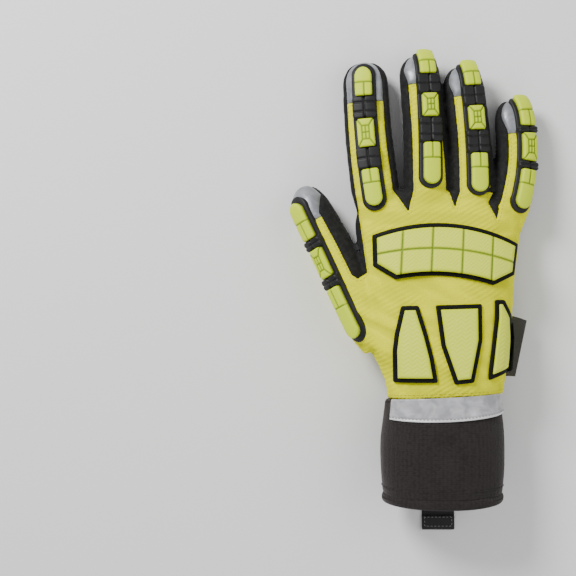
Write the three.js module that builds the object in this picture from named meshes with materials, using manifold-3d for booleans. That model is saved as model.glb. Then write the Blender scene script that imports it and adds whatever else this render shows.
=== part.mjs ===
// Impact glove for the right hand, lying palm down: millimetres, +Z up, fingers along +Y, thumb towards -X.
// The origin is on the flat underside of the palm.

import * as THREE from 'three';
import { mergeVertices } from 'three/addons/utils/BufferGeometryUtils.js';
import Module from 'manifold-3d';

const wasm = await Module();
wasm.setup();

// Driving sizes of the hand
const WALL = 2.2; // fabric with its lining
const GAP = 0.3; // between pieces that are sewn or moulded together
const PALM_WIDTH = 96;
const PALM_DEPTH = 46; // thickness of the hand above the floor, at the wrist
const HAND_LENGTH = 123; // wrist seam to the webs of the fingers
const WRIST_Y = -64.6; // middle of the wrist seam
const HAND_ROUND = 2.5; // exponent of the hand's oval sections
const FINGER_ROUND = 2.3;
const THUMB_TIP_CAP = 15; // length of the round end of the thumb
const FINGER_TIP_CAP = 15;

// Driving sizes of the cuff and what is sewn to it
const CUFF_LENGTH = 58;
const CUFF_WIDTH = 74;
const CUFF_DEPTH = 50;
const CUFF_WALL = 3;
const CUFF_SHIFT = 1.2; // middle of the cuff, towards the little finger
const HEM_LENGTH = 5;
const HEM_PROUD = 0.5;
const BAND_WIDTH = 13;
const BAND_WALL = 1;
const BAND_LEFT = -66; // degrees from the top of the cuff
const BAND_RIGHT = 82;
const TAB_WIDTH = 20;
const TAB_WALL = 1.3;
const TAB_REACH = 20; // past the hem
const TAB_FOLD = 8;
const LABEL_LENGTH = 37;
const LABEL_WIDTH = 11;
const LABEL_WALL = 1;
const LABEL_HEIGHT = 0.37; // share of PALM_DEPTH
const LABEL_START = 0.09; // share of HAND_LENGTH from the wrist seam
const LABEL_LEAN = 7; // how far its near end stands closer to the hand

// Driving sizes of the moulded guards, as heights above the fabric
const GUARD_WIDTH = 14.6;
const GUARD_RIM = 2.2;
const GUARD_PLATE = 1.5;
const GUARD_BLOCK = 3.8;
const GUARD_PAD = 4.6;
const KNUCKLE_PAD = 6;
const BACK_PAD = 4.6;
const GROOVE_WIDTH = 0.9;
const GROOVE_DEPTH = 1.4;
const KNUCKLE_RIM = 2.6;

// Fingers: root and heading in plan, then the size and lie of each one.
// heading is degrees from +Y towards +X, bow is a sideways bend, roll turns the back of the finger towards +X,
// panel is half of the angle that the back panel covers, guard is the share of the length with no guard,
// pads are shares of the guard's length, counted from the tip, and aside says how far the guard lies from the
// finger's middle line at its root and at its tip, as shares of the width.
const FINGERS = {
  thumb: {
    rootX: -33.5, rootY: -34, rootZ: 19, tipZ: 11.5, length: 107.6, heading: -27.6, bow: 0, width: 26.6,
    depth: 23.5, roll: -48, panel: 60, guard: 0.07, nose: -0.047, tip: 0.21,
    pads: [[0.028, 0.279], [0.351, 0.546], [0.621, 0.96]],
  },
  index: {
    rootX: -35.5, rootY: 35, rootZ: 17.5, tipZ: 10.5, length: 103, heading: -5, bow: -2.2, width: 28.6,
    depth: 24, roll: -9, panel: 54, guard: 0.105, nose: -0.03, tip: 0.25,
    pads: [[0.014, 0.222], [0.38, 0.57], [0.72, 0.965]],
  },
  middle: {
    rootX: -7, rootY: 35, rootZ: 20, tipZ: 10.5, length: 107, heading: -2.9, bow: 1.6, width: 25.8,
    depth: 22.6, roll: 12, panel: 52, guard: 0.218, nose: 0.06, tip: 0.18,
    pads: [[0, 0.228], [0.364, 0.52], [0.695, 0.972]],
    aside: [-0.047, 0.1],
  },
  ring: {
    rootX: 20, rootY: 35, rootZ: 19.5, tipZ: 10.5, length: 100.5, heading: -3.4, bow: 2.2, width: 25.4,
    depth: 22.4, roll: 14, panel: 52, guard: 0.19, nose: 0.06, tip: 0.2,
    pads: [[0, 0.239], [0.384, 0.549], [0.712, 0.975]],
    aside: [-0.012, 0.083],
  },
  little: {
    rootX: 37.5, rootY: 35, rootZ: 15.5, tipZ: 9.8, length: 80, heading: 5, bow: 6, width: 25.4,
    depth: 21.4, roll: 28, panel: 52, guard: 0.143, nose: 0.05, tip: 0.27,
    pads: [[0, 0.3], [0.36, 0.58], [0.65, 0.958]],
    aside: [0.012, 0.09],
  },
};

// Girth of a finger and of the thumb: shares of the length, the width and the depth
const FINGER_GIRTH = [
  { along: 0, width: 0.95, depth: 1 },
  { along: 0.24, width: 1.1, depth: 1.08 },
  { along: 0.54, width: 1.005, depth: 0.97 },
  { along: 1, width: 0.96, depth: 0.84 },
];
const THUMB_GIRTH = [
  { along: 0, width: 0.8, depth: 1.1 },
  { along: 0.12, width: 1.04, depth: 1.3 },
  { along: 0.35, width: 1.03, depth: 1.2 },
  { along: 0.6, width: 1, depth: 1 },
  { along: 1, width: 0.86, depth: 0.84 },
];

// Sections of the hand: shares of HAND_LENGTH, of PALM_WIDTH and of PALM_DEPTH. sink is how far the oval would
// reach under the floor, where the palm is pressed flat, and slant turns the wrist seam.
const HAND_SECTIONS = [
  { along: 0, left: -0.325, right: 0.392, top: 1.0, sink: 0.02, slant: 0.05 },
  { along: 0.07, left: -0.33, right: 0.403, top: 1.0, sink: 0.03, slant: 0.045 },
  { along: 0.15, left: -0.372, right: 0.427, top: 0.99, sink: 0.05, slant: 0.03 },
  { along: 0.235, left: -0.44, right: 0.441, top: 0.97, sink: 0.07, slant: 0.01 },
  { along: 0.36, left: -0.463, right: 0.45, top: 0.94, sink: 0.07, slant: 0 },
  { along: 0.52, left: -0.474, right: 0.465, top: 0.89, sink: 0.07, slant: 0 },
  { along: 0.68, left: -0.508, right: 0.489, top: 0.84, sink: 0.06, slant: 0 },
  { along: 0.82, left: -0.53, right: 0.512, top: 0.775, sink: 0.03, slant: 0 },
  { along: 0.93, left: -0.52, right: 0.515, top: 0.68, sink: -0.05, slant: 0 },
  { along: 1, left: -0.44, right: 0.455, top: 0.52, sink: -0.12, slant: 0 },
];

// Sections of the cuff: shares of CUFF_LENGTH, of half of CUFF_WIDTH and of CUFF_DEPTH
const CUFF_SECTIONS = [
  { along: 0, width: 0.92, depth: 0.93, slant: 0.05 },
  { along: 0.2, width: 0.965, depth: 0.965, slant: 0.04 },
  { along: 0.45, width: 1, depth: 1, slant: 0.02 },
  { along: 0.75, width: 1, depth: 1, slant: 0.01 },
  { along: 1, width: 0.97, depth: 0.985, slant: 0 },
];

// Seam between the palm and the sides: shares of the length from the wrist to the longest finger, and heights
// as shares of PALM_DEPTH at the thumb's side and at the little finger's side
const SEAM_LINE = [
  { along: -0.12, left: 0.3, right: 0.38 },
  { along: 0.08, left: 0.22, right: 0.36 },
  { along: 0.15, left: 0.12, right: 0.34 },
  { along: 0.4, left: 0.12, right: 0.31 },
  { along: 0.52, left: 0.2, right: 0.31 },
  { along: 0.62, left: 0.3, right: 0.3 },
  { along: 0.85, left: 0.22, right: 0.21 },
  { along: 1.15, left: 0.14, right: 0.14 },
];

// Points of the side walls on the back of the hand: across is a share of the room between two fingers and
// reach is how far the point stays from the roots' line. A heel is a corner beside the left finger, as shares
// of its width, and rise is how much later the back panel of that finger begins, as a share of its length.
const FORKS = [
  { between: ['thumb', 'index'] },
  { between: ['index', 'middle'], across: 0.75, reach: 11 },
  { between: ['middle', 'ring'], across: 0.54, reach: 13.5 },
  { between: ['ring', 'little'], across: 0.2, reach: 6.5, heel: { across: -0.15, back: 0.24, rise: 0.1 } },
];
const FORK_START = 0.22; // share of a finger's length where the point begins
const WEDGE_OVERLAP = 0.08; // share of a finger's length that its wedge runs back into the hand
const FORK_CORNER = 1.2; // outer corner of the thumb's fork beside the index finger, as a share of its width
const THUMB_FORK = { tipX: -48.9, tipY: 5.8, cornerX: -44.7, cornerY: 9.2, start: 0.42 };
const THUMB_WEB = { x: -47.8, y: 21 };
const THUMB_ROOM = { nearAcross: 30, nearAlong: 0.88, farAcross: 42, farAlong: 1.2 };
const THUMB_SEAM = 0.35; // palm side of the thumb, as a share of its half depth

// Outlines on the back of the hand, drawn for a palm of DRAWN_WIDTH and widened with it
const DRAWN_WIDTH = 96;
const KNUCKLE = {
  x: 2.3, y: 20, tilt: -3.4, halfLength: 44, shoulder: 8.9, crown: 18.4, sideX: 42.5, sideY: -9.6,
  footX: 29, footY: -16.7, arch: -13,
};
const KNUCKLE_COLUMNS = [-26.3, -8.6, 9.4, 27.2];
const KNUCKLE_MID = { end: -3.4, middle: 3.2 };
const BACK_PADS = {
  index: [[-24.5, -10.6], [-14.4, -10.4], [-9.2, -27.5], [-5.9, -40.7], [-3.4, -55.6], [-29, -55.8],
    [-29.6, -37.2], [-28.3, -26.8]],
  middle: [[-4.4, -10.2], [23.1, -9.4], [23.1, -30.9], [17.9, -55.6], [6.5, -56.7], [-1.3, -34.1]],
  little: [[31.1, -7], [37.3, -7], [44.5, -21], [45.2, -48.2], [26.9, -54.4], [26.6, -50.5], [31, -17.7]],
};

// Materials
const yellowFabric = new THREE.MeshStandardMaterial({ color: 0xece83a, roughness: 0.85, metalness: 0 });
const blackLeather = new THREE.MeshStandardMaterial({ color: 0x222224, roughness: 0.8, metalness: 0 });
const blackKnit = new THREE.MeshStandardMaterial({ color: 0x342f2f, roughness: 0.95, metalness: 0 });
const greyTape = new THREE.MeshStandardMaterial({ color: 0xa7abae, roughness: 0.5, metalness: 0.1 });
const blackRubber = new THREE.MeshStandardMaterial({ color: 0x1f2022, roughness: 0.55, metalness: 0 });
const yellowRubber = new THREE.MeshStandardMaterial({ color: 0xd6e25a, roughness: 0.5, metalness: 0 });

const radians = THREE.MathUtils.degToRad;
const UP = new THREE.Vector3(0, 0, 1);
const FLOOR = 0;
const CUFF_BOTTOM = TAB_WALL + GAP + HEM_PROUD;
const HEM_Y = WRIST_Y - GAP - CUFF_LENGTH - GAP - HEM_LENGTH;
const TALL = 2 * PALM_DEPTH; // more than the height of anything here
const BEYOND = 12; // how far a cut runs past the fabric
const AROUND = 10; // facets round a finger
const AROUND_INSIDE = 8;
const CRUMB = 0.5; // cubic millimetres
const OVER_SKIN = 1.12; // how far a cut round a finger reaches, as a share of its half width
const CAP_RINGS = [0, 0.6, 0.88, 0.985]; // shares of a fingertip's round end
const CAP_START = 0.85; // share of a finger's length where its round end begins, about
const AROUND_CUFF = 20;
const CUFF_ROUND = 2.2; // exponent of the cuff's oval sections
const CUFF_OVERRUN = 0.05; // share of its length that the cuff's hollow runs past its ends
const BAND_STEPS = 10;

// Shares of a finger's length where cuts along it have a section
const WEDGE_SHARES = [0.45, 0.68, CAP_START, 1];
const FORK_SHARES = [1, 0.75, 0.5];
const THUMB_SLABS = [0.1, 0.25, 0.4, 0.55, 0.7, 0.85, 1, 1.15];
const STRIP_STEP = 22; // longest facet along a finger's guard
const ROUND_RINGS = [0, 0.35]; // shares of the round end of a guard
const ROUND_LEAST = 0.06; // square of the share of the width that its very end keeps
const GUARD_FOOT = 0.4; // share of PALM_DEPTH that the guards on the hand stay above

// Value of a table's column at a place along it
function lookUp(table, along, column) {
  const last = table.length - 1;
  if (along <= table[0].along) return table[0][column];
  for (let i = 0; i < last; i += 1) {
    const [low, high] = [table[i], table[i + 1]];
    if (along <= high.along) {
      const share = (along - low.along) / (high.along - low.along);
      return low[column] + share * (high[column] - low[column]);
    }
  }
  return table[last][column];
}

function ovalPoint(halfWidth, halfDepth, angle, exponent) {
  const sine = Math.sin(angle);
  const cosine = Math.cos(angle);
  const across = halfWidth * Math.sign(sine) * Math.abs(sine) ** (2 / exponent);
  const upward = halfDepth * Math.sign(cosine) * Math.abs(cosine) ** (2 / exponent);
  return [across, upward];
}

// Closed solid from vertices and triangles, turned so that its faces point out
function solidFrom(points, triangles) {
  const geometry = new THREE.BufferGeometry();
  const places = points.flatMap((point) => point.toArray());
  geometry.setAttribute('position', new THREE.Float32BufferAttribute(places, 3));
  geometry.setIndex(triangles.flat());
  return toManifold(geometry);
}

function toManifold(source) {
  const bare = source.clone();
  bare.deleteAttribute('normal');
  bare.deleteAttribute('uv');
  const merged = mergeVertices(bare, 1e-5);
  const position = merged.getAttribute('position').array;
  const index = Uint32Array.from(merged.getIndex().array);
  const corner = (i) => new THREE.Vector3().fromArray(position, 3 * index[i]);
  let volume = 0;
  for (let i = 0; i < index.length; i += 3) volume += corner(i).dot(corner(i + 1).cross(corner(i + 2)));
  if (volume < 0) {
    for (let i = 0; i < index.length; i += 3) [index[i], index[i + 1]] = [index[i + 1], index[i]];
  }
  const mesh = new wasm.Mesh({ numProp: 3, vertProperties: Float32Array.from(position), triVerts: index });
  return new wasm.Manifold(mesh);
}

// Solid through a row of rings with as many points each, closed by a fan at both ends
function loft(rings) {
  const count = rings[0].length;
  const points = rings.flat();
  const triangles = [];
  for (let i = 0; i < rings.length - 1; i += 1) {
    for (let j = 0; j < count; j += 1) {
      const next = (j + 1) % count;
      const [a, b] = [i * count + j, i * count + next];
      const [c, d] = [a + count, b + count];
      triangles.push([a, b, d], [a, d, c]);
    }
  }
  const addFan = (ring, start, flip) => {
    const middle = ring.reduce((sum, p) => sum.add(p), new THREE.Vector3()).divideScalar(count);
    points.push(middle);
    const hub = points.length - 1;
    for (let j = 0; j < count; j += 1) {
      const next = (j + 1) % count;
      triangles.push(flip ? [hub, start + next, start + j] : [hub, start + j, start + next]);
    }
  };
  addFan(rings[0], 0, true);
  addFan(rings[rings.length - 1], (rings.length - 1) * count, false);
  return solidFrom(points, triangles);
}

// Upright prism over an outline in plan
function prism(outline, low, high) {
  const shape = new THREE.Shape(outline.map(([x, y]) => new THREE.Vector2(x, y)));
  const geometry = new THREE.ExtrudeGeometry(shape, { depth: high - low, bevelEnabled: false });
  return toManifold(geometry.translate(0, 0, low));
}

// Outline moved inwards by a margin, corner by corner
function inset(outline, margin) {
  const area = outline.reduce((sum, [x, y], i) => {
    const [nextX, nextY] = outline[(i + 1) % outline.length];
    return sum + x * nextY - nextX * y;
  }, 0);
  const inward = Math.sign(area);
  const normals = outline.map(([x, y], i) => {
    const [nextX, nextY] = outline[(i + 1) % outline.length];
    const edge = Math.hypot(nextX - x, nextY - y);
    return [(-inward * (nextY - y)) / edge, (inward * (nextX - x)) / edge];
  });
  return outline.map(([x, y], i) => {
    const before = normals[(i + outline.length - 1) % outline.length];
    const after = normals[i];
    const lean = 1 + before[0] * after[0] + before[1] * after[1];
    return [x + (margin * (before[0] + after[0])) / lean, y + (margin * (before[1] + after[1])) / lean];
  });
}

// Fingers

function fingerPoint(finger, reach) {
  const share = reach / finger.length;
  const heading = radians(finger.heading);
  const side = finger.bow * Math.sin(Math.PI * share);
  const x = finger.rootX + reach * Math.sin(heading) + side * Math.cos(heading);
  const y = finger.rootY + reach * Math.cos(heading) - side * Math.sin(heading);
  const z = finger.rootZ + (finger.tipZ - finger.rootZ) * share;
  return new THREE.Vector3(x, y, z);
}

// Centre, forward, side and back directions of a finger at a distance from its root
function fingerFrame(finger, reach) {
  const centre = fingerPoint(finger, reach);
  const ahead = fingerPoint(finger, reach + 0.5).sub(fingerPoint(finger, reach - 0.5)).normalize();
  const level = ahead.clone().cross(UP).normalize();
  const upright = level.clone().cross(ahead);
  const roll = radians(finger.roll);
  const back = upright.clone().multiplyScalar(Math.cos(roll)).addScaledVector(level, Math.sin(roll));
  const side = level.clone().multiplyScalar(Math.cos(roll)).addScaledVector(upright, -Math.sin(roll));
  return { centre, ahead, side, back };
}

function girthOf(finger) {
  return finger === FINGERS.thumb ? THUMB_GIRTH : FINGER_GIRTH;
}

function capOf(finger) {
  return finger === FINGERS.thumb ? THUMB_TIP_CAP : FINGER_TIP_CAP;
}

// Half width and half depth of a finger, grown by an offset and closing round the tip
function fingerHalves(finger, reach, offset) {
  const cap = capOf(finger);
  const girth = girthOf(finger);
  const into = Math.max(0, (reach - finger.length + cap) / (cap + offset));
  const closing = into < 1 ? (1 - into ** FINGER_ROUND) ** (1 / FINGER_ROUND) : 0;
  const width = finger.width * lookUp(girth, reach / finger.length, 'width');
  const depth = finger.depth * lookUp(girth, reach / finger.length, 'depth');
  return [(width / 2 + offset) * closing, (depth / 2 + offset) * closing];
}

function fingerSkin(finger, reach, angle, offset) {
  const { centre, side, back } = fingerFrame(finger, reach);
  const [halfWidth, halfDepth] = fingerHalves(finger, reach, offset);
  const [across, upward] = ovalPoint(halfWidth, halfDepth, angle, FINGER_ROUND);
  const point = centre.addScaledVector(side, across).addScaledVector(back, upward);
  point.z = Math.max(point.z, FLOOR - offset);
  return point;
}

function fingerSolid(finger, offset, around) {
  const cap = capOf(finger);
  const body = girthOf(finger).slice(0, -1).map(({ along }) => along * finger.length);
  const round = CAP_RINGS.map((into) => finger.length - cap + into * (cap + offset));
  if (offset < 0) round.splice(1, 1);
  const rings = [...body, ...round].map((reach) => {
    const ring = [];
    for (let j = 0; j < around; j += 1) {
      const angle = (2 * Math.PI * j) / around;
      ring.push(fingerSkin(finger, reach, angle, offset));
    }
    return ring;
  });
  return loft(rings);
}

// Hand

function handSection(along, offset) {
  const left = PALM_WIDTH * lookUp(HAND_SECTIONS, along, 'left');
  const right = PALM_WIDTH * lookUp(HAND_SECTIONS, along, 'right');
  const top = PALM_DEPTH * lookUp(HAND_SECTIONS, along, 'top');
  const bottom = -PALM_DEPTH * lookUp(HAND_SECTIONS, along, 'sink');
  return {
    x: (left + right) / 2,
    z: (top + bottom) / 2,
    halfWidth: (right - left) / 2 + offset,
    halfDepth: (top - bottom) / 2 + offset,
    slant: lookUp(HAND_SECTIONS, along, 'slant'),
  };
}

function handSolid(offset, around, wristRun) {
  const front = HAND_SECTIONS.length - 1;
  const rows = HAND_SECTIONS.filter((section, row) => offset >= 0 || row % 2 === 0 || row === front);
  const rings = rows.map(({ along }) => {
    const section = handSection(along, offset);
    const run = (along === 0 ? -wristRun : 0) + (along === 1 ? offset : 0);
    const y = WRIST_Y + along * HAND_LENGTH + run;
    const ring = [];
    for (let j = 0; j < around; j += 1) {
      const angle = (2 * Math.PI * j) / around;
      const [across, upward] = ovalPoint(section.halfWidth, section.halfDepth, angle, HAND_ROUND);
      const z = Math.max(section.z + upward, FLOOR - offset);
      ring.push(new THREE.Vector3(section.x + across, y + section.slant * across, z));
    }
    return ring;
  });
  return loft(rings);
}

// Hand and fingers in one, grown by an offset from the fabric's outside
function wholeHand(offset, around, wristRun) {
  let whole = handSolid(offset, Math.round(1.5 * around), wristRun);
  for (const finger of Object.values(FINGERS)) whole = whole.add(fingerSolid(finger, offset, around));
  return whole;
}

const outside = wholeHand(0, AROUND, 0);
const hollow = wholeHand(-WALL, AROUND_INSIDE, 2 * WALL);
const shell = outside.subtract(hollow);
const layers = new Map();
function grown(offset) {
  if (!layers.has(offset)) layers.set(offset, wholeHand(offset, AROUND, 0));
  return layers.get(offset);
}

// Cuts between the panels

// Wedge over the back of a finger that the back panel covers, from where the side walls begin to past the tip
function panelWedge(finger, start, shrink) {
  const shares = [start - WEDGE_OVERLAP, ...WEDGE_SHARES, 1 + BEYOND / finger.length];
  const rings = shares.map((share) => {
    const { centre, side, back } = fingerFrame(finger, share * finger.length);
    const [halfWidth, halfDepth] = fingerHalves(finger, Math.min(share, CAP_START) * finger.length, 0);
    const angle = radians(finger.panel) - shrink / halfWidth;
    const [across, upward] = ovalPoint(OVER_SKIN * halfWidth, OVER_SKIN * halfDepth, angle, FINGER_ROUND);
    const top = 2 * halfDepth;
    return [[0, 0], [across, upward], [across, top], [-across, top], [-across, upward]]
      .map(([x, z]) => centre.clone().addScaledVector(side, x).addScaledVector(back, z));
  });
  return loft(rings);
}

function centreLine(finger, start, grow) {
  return [1 + BEYOND / finger.length, ...FORK_SHARES, start].map((share) => {
    const point = fingerPoint(finger, share * finger.length);
    return [point.x, point.y - (share === start ? grow : 0)];
  });
}

function panelCorner(finger, sideSign, start) {
  const point = fingerSkin(finger, start * finger.length, sideSign * radians(finger.panel), 0);
  return [point.x, point.y];
}

// Everything between two fingers that is side wall: the room between their middles less both back wedges
function forkRoom(fork, grow) {
  const [left, right] = fork.between.map((name) => FINGERS[name]);
  const isThumb = left === FINGERS.thumb;
  const start = isThumb ? THUMB_FORK.start : FORK_START;
  const [leftX, leftY] = panelCorner(left, 1, start);
  const [rightX, rightY] = panelCorner(right, -1, FORK_START);
  const tips = [];
  if (isThumb) {
    const { tipX, tipY, cornerX, cornerY } = THUMB_FORK;
    tips.push([tipX - grow, tipY - grow], [cornerX + grow, cornerY - grow]);
  } else {
    tips.push([leftX + fork.across * (rightX - leftX), left.rootY + fork.reach - 2 * grow]);
  }
  if (fork.heel) {
    tips.unshift([leftX + fork.heel.across * left.width - grow, leftY - fork.heel.back * left.width - grow]);
  }
  const outline = [...centreLine(left, start, grow), [leftX - grow, leftY - grow], ...tips,
    [rightX + grow, rightY - grow], ...centreLine(right, FORK_START, grow).reverse()];
  if (isThumb) {
    const [, endY] = outline[outline.length - 1];
    outline.push([right.rootX - FORK_CORNER * right.width, endY]);
  }
  const room = prism(outline, -BEYOND, TALL);
  const leftStart = start + (fork.heel?.rise ?? 0);
  return room.subtract(panelWedge(left, leftStart, grow)).subtract(panelWedge(right, FORK_START, grow));
}

// Room of the thumb, left of the web between the thumb and the hand
const thumbRoom = (() => {
  const { rootX, rootY, length } = FINGERS.thumb;
  const left = rootX - length;
  const { nearAcross, nearAlong, farAcross, farAlong } = THUMB_ROOM;
  const far = rootY + farAlong * length;
  return [[rootX - BEYOND, rootY], [THUMB_WEB.x, THUMB_WEB.y], [rootX - nearAcross, rootY + nearAlong * length],
    [rootX - farAcross, far], [left, far], [left, rootY]];
})();

// Everything on the palm's side of the seams
function palmSide(grow) {
  const reach = FINGERS.middle.rootY + FINGERS.middle.length - WRIST_Y;
  const rings = SEAM_LINE.map(({ along, left, right }) => {
    const y = WRIST_Y + along * reach;
    const [low, wide] = [-BEYOND, PALM_WIDTH];
    return [[-wide, low], [wide, low], [wide, right * PALM_DEPTH + grow], [-wide, left * PALM_DEPTH + grow]]
      .map(([x, z]) => new THREE.Vector3(x, y, z));
  });
  const room = prism(thumbRoom, -BEYOND - 1, TALL);
  const thumb = FINGERS.thumb;
  const slabs = [];
  for (const share of THUMB_SLABS) {
    const reached = Math.min(share, CAP_START) * thumb.length;
    const { side, back } = fingerFrame(thumb, share * thumb.length);
    const centre = fingerPoint(thumb, share * thumb.length);
    const top = -THUMB_SEAM * fingerHalves(thumb, reached, 0)[1] + grow;
    const wide = 2 * thumb.width;
    slabs.push([[-wide, -wide], [wide, -wide], [wide, top], [-wide, top]]
      .map(([across, upward]) => centre.clone().addScaledVector(side, across).addScaledVector(back, upward)));
  }
  const less = prism(inset(thumbRoom, GAP), -BEYOND - 1, TALL);
  return loft(rings).subtract(less).add(loft(slabs).intersect(room));
}

// Everything around the end of a finger, from a share of its length before the tip
function tipRoom(finger, grow) {
  const start = (1 - finger.tip) * finger.length - grow;
  const radius = OVER_SKIN * (finger.width / 2);
  const rings = [start, finger.length - capOf(finger), finger.length + BEYOND].map((reach) => {
    const { centre, side, back } = fingerFrame(finger, reach);
    const ring = [];
    for (let j = 0; j < AROUND; j += 1) {
      const angle = (2 * Math.PI * j) / AROUND;
      const [across, upward] = [radius * Math.sin(angle), radius * Math.cos(angle)];
      ring.push(centre.clone().addScaledVector(side, across).addScaledVector(back, upward));
    }
    return ring;
  });
  return loft(rings);
}

const palmCut = palmSide(0);
const sides = shell.subtract(palmSide(GAP));
let backOnly = sides;
for (const fork of FORKS) backOnly = backOnly.subtract(forkRoom(fork, GAP));

let backPanel = backOnly;
const tips = {};
for (const [name, finger] of Object.entries(FINGERS)) {
  tips[name] = backOnly.intersect(tipRoom(finger, 0));
  backPanel = backPanel.subtract(tipRoom(finger, GAP));
}
const palmPanel = shell.intersect(palmCut);

// Guards

// How far a guard lies to the side of its finger's middle line
function guardAside(finger, reach) {
  const [atRoot, atTip] = finger.aside ?? [0, 0];
  const share = (reach / finger.length - finger.guard) / (1 - finger.guard);
  return finger.width * (atRoot + (atTip - atRoot) * Math.min(1, Math.max(0, share)));
}

// Room over the back of a finger between two distances from the root, as wide as halfWidth says at each one
function stripRoom(finger, from, to, halfWidth, roundEnd) {
  const steps = Math.max(2, Math.ceil((to - from) / STRIP_STEP));
  const reaches = [];
  if (roundEnd) reaches.push(...ROUND_RINGS.map((share) => from + share * halfWidth));
  for (let i = roundEnd ? 1 : 0; i <= steps; i += 1) {
    const base = roundEnd ? from + halfWidth : from;
    reaches.push(roundEnd ? base + ((i - 1) / (steps - 1)) * (to - base) : base + (i / steps) * (to - from));
  }
  const rings = reaches.map((reach) => {
    const { centre, side, back } = fingerFrame(finger, reach);
    const into = roundEnd ? Math.min(1, (reach - from) / halfWidth) : 1;
    const half = halfWidth * Math.sqrt(Math.max(ROUND_LEAST, 1 - (1 - into) ** 2));
    const tall = finger.depth;
    centre.addScaledVector(side, guardAside(finger, reach));
    return [[-half, 0], [half, 0], [half, tall], [-half, tall]]
      .map(([across, upward]) => centre.clone().addScaledVector(side, across).addScaledVector(back, upward));
  });
  return loft(rings);
}

function fingerGuard(finger) {
  const nose = finger.length * (1 + finger.nose);
  const root = finger.length * finger.guard;
  const place = (share) => nose - share * (nose - root);
  const half = GUARD_WIDTH / 2;
  const padHalf = half - GUARD_RIM;
  const under = grown(GAP);
  let base = stripRoom(finger, root, nose, half, true).intersect(grown(GUARD_PLATE)).subtract(under);
  const pads = finger.pads.map(([near, far], i) => {
    const last = i === finger.pads.length - 1;
    const [low, high] = [place(far), place(near)];
    const full = stripRoom(finger, low, high, padHalf, last).intersect(grown(GUARD_PAD));
    return full.subtract(grown(GUARD_PLATE + GAP));
  });
  for (let i = 0; i < finger.pads.length - 1; i += 1) {
    const [high, low] = [place(finger.pads[i][1]) - GAP, place(finger.pads[i + 1][0]) + GAP];
    const block = stripRoom(finger, low, high, half, false).intersect(grown(GUARD_BLOCK));
    base = base.add(block.subtract(under));
  }
  return { base, pads };
}

function onBack([x, y]) {
  return [(x * PALM_WIDTH) / DRAWN_WIDTH, y];
}

// Point of the knuckle guard's own plan, which is turned a little on the hand
function onKnuckle([x, y]) {
  const tilt = radians(KNUCKLE.tilt);
  return onBack([
    KNUCKLE.x + x * Math.cos(tilt) - y * Math.sin(tilt),
    KNUCKLE.y + x * Math.sin(tilt) + y * Math.cos(tilt),
  ]);
}

// Parabola from one end to the other, as a row of points
function arch(halfSpan, ends, middle, steps) {
  const points = [];
  for (let i = 0; i <= steps; i += 1) {
    const share = (2 * i) / steps - 1;
    points.push([share * halfSpan, middle + (ends - middle) * share * share]);
  }
  return points;
}

const knuckleOutline = [
  ...arch(KNUCKLE.halfLength, KNUCKLE.shoulder, KNUCKLE.crown, 5).reverse(),
  [-KNUCKLE.sideX, KNUCKLE.sideY],
  ...arch(KNUCKLE.footX, KNUCKLE.footY, KNUCKLE.arch, 3),
  [KNUCKLE.sideX, KNUCKLE.sideY],
].map(onKnuckle);

// Plate and pad over an outline, kept above the widest part of the hand
function backGuard(outline, rim, padHeight) {
  const low = GUARD_FOOT * PALM_DEPTH;
  const plate = prism(outline, low, TALL).intersect(grown(GUARD_PLATE)).subtract(grown(GAP));
  const pad = prism(inset(outline, rim), low + rim, TALL).intersect(grown(padHeight));
  return { plate, pad: pad.subtract(grown(GUARD_PLATE + GAP)) };
}

function knuckleGuard() {
  const { plate, pad } = backGuard(knuckleOutline, KNUCKLE_RIM, KNUCKLE_PAD);
  const floor = grown(KNUCKLE_PAD - GROOVE_DEPTH);
  const half = GROOVE_WIDTH / 2;
  const span = KNUCKLE.halfLength;
  let grooves = KNUCKLE_COLUMNS.map((x) => {
    const outline = [[x - half, -span], [x + half, -span], [x + half, span], [x - half, span]];
    return prism(outline.map(onKnuckle), 0, TALL);
  }).reduce((all, groove) => all.add(groove));
  const middle = arch(span, KNUCKLE_MID.end, KNUCKLE_MID.middle, 3);
  const row = [...middle.map(([x, y]) => [x, y - half]), ...middle.reverse().map(([x, y]) => [x, y + half])];
  grooves = grooves.add(prism(row.map(onKnuckle), 0, TALL));
  return { plate, pad: pad.subtract(grooves.subtract(floor)) };
}

// Cuff and what is sewn to it

function cuffSkin(along, angle, offset) {
  const halfWidth = (CUFF_WIDTH / 2) * lookUp(CUFF_SECTIONS, along, 'width');
  const halfDepth = (CUFF_DEPTH / 2) * lookUp(CUFF_SECTIONS, along, 'depth');
  const slant = lookUp(CUFF_SECTIONS, along, 'slant');
  const [across, upward] = ovalPoint(halfWidth + offset, halfDepth + offset, angle, CUFF_ROUND);
  const y = WRIST_Y - GAP - along * CUFF_LENGTH + slant * across;
  return new THREE.Vector3(CUFF_SHIFT + across, y, CUFF_BOTTOM + halfDepth + upward);
}

function cuffTube(from, to, inner, outer, steps) {
  const wall = (offset, overrun) => {
    const rings = [];
    for (let i = 0; i <= steps; i += 1) {
      const along = from + (i / steps) * (to - from) + (i === 0 ? -overrun : 0) + (i === steps ? overrun : 0);
      const ring = [];
      for (let j = 0; j < AROUND_CUFF; j += 1) {
        ring.push(cuffSkin(along, (2 * Math.PI * j) / AROUND_CUFF, offset));
      }
      rings.push(ring);
    }
    return loft(rings);
  };
  return wall(outer, 0).subtract(wall(inner, CUFF_OVERRUN));
}

function wristBand() {
  const steps = BAND_STEPS;
  const bottom = BAND_WIDTH / CUFF_LENGTH;
  const rings = [];
  for (let i = 0; i <= steps; i += 1) {
    const angle = radians(BAND_LEFT + (i / steps) * (BAND_RIGHT - BAND_LEFT));
    const corners = [[0, GAP], [bottom, GAP], [bottom, GAP + BAND_WALL], [0, GAP + BAND_WALL]];
    rings.push(corners.map(([along, offset]) => cuffSkin(along, angle, offset)));
  }
  return loft(rings);
}

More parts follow.
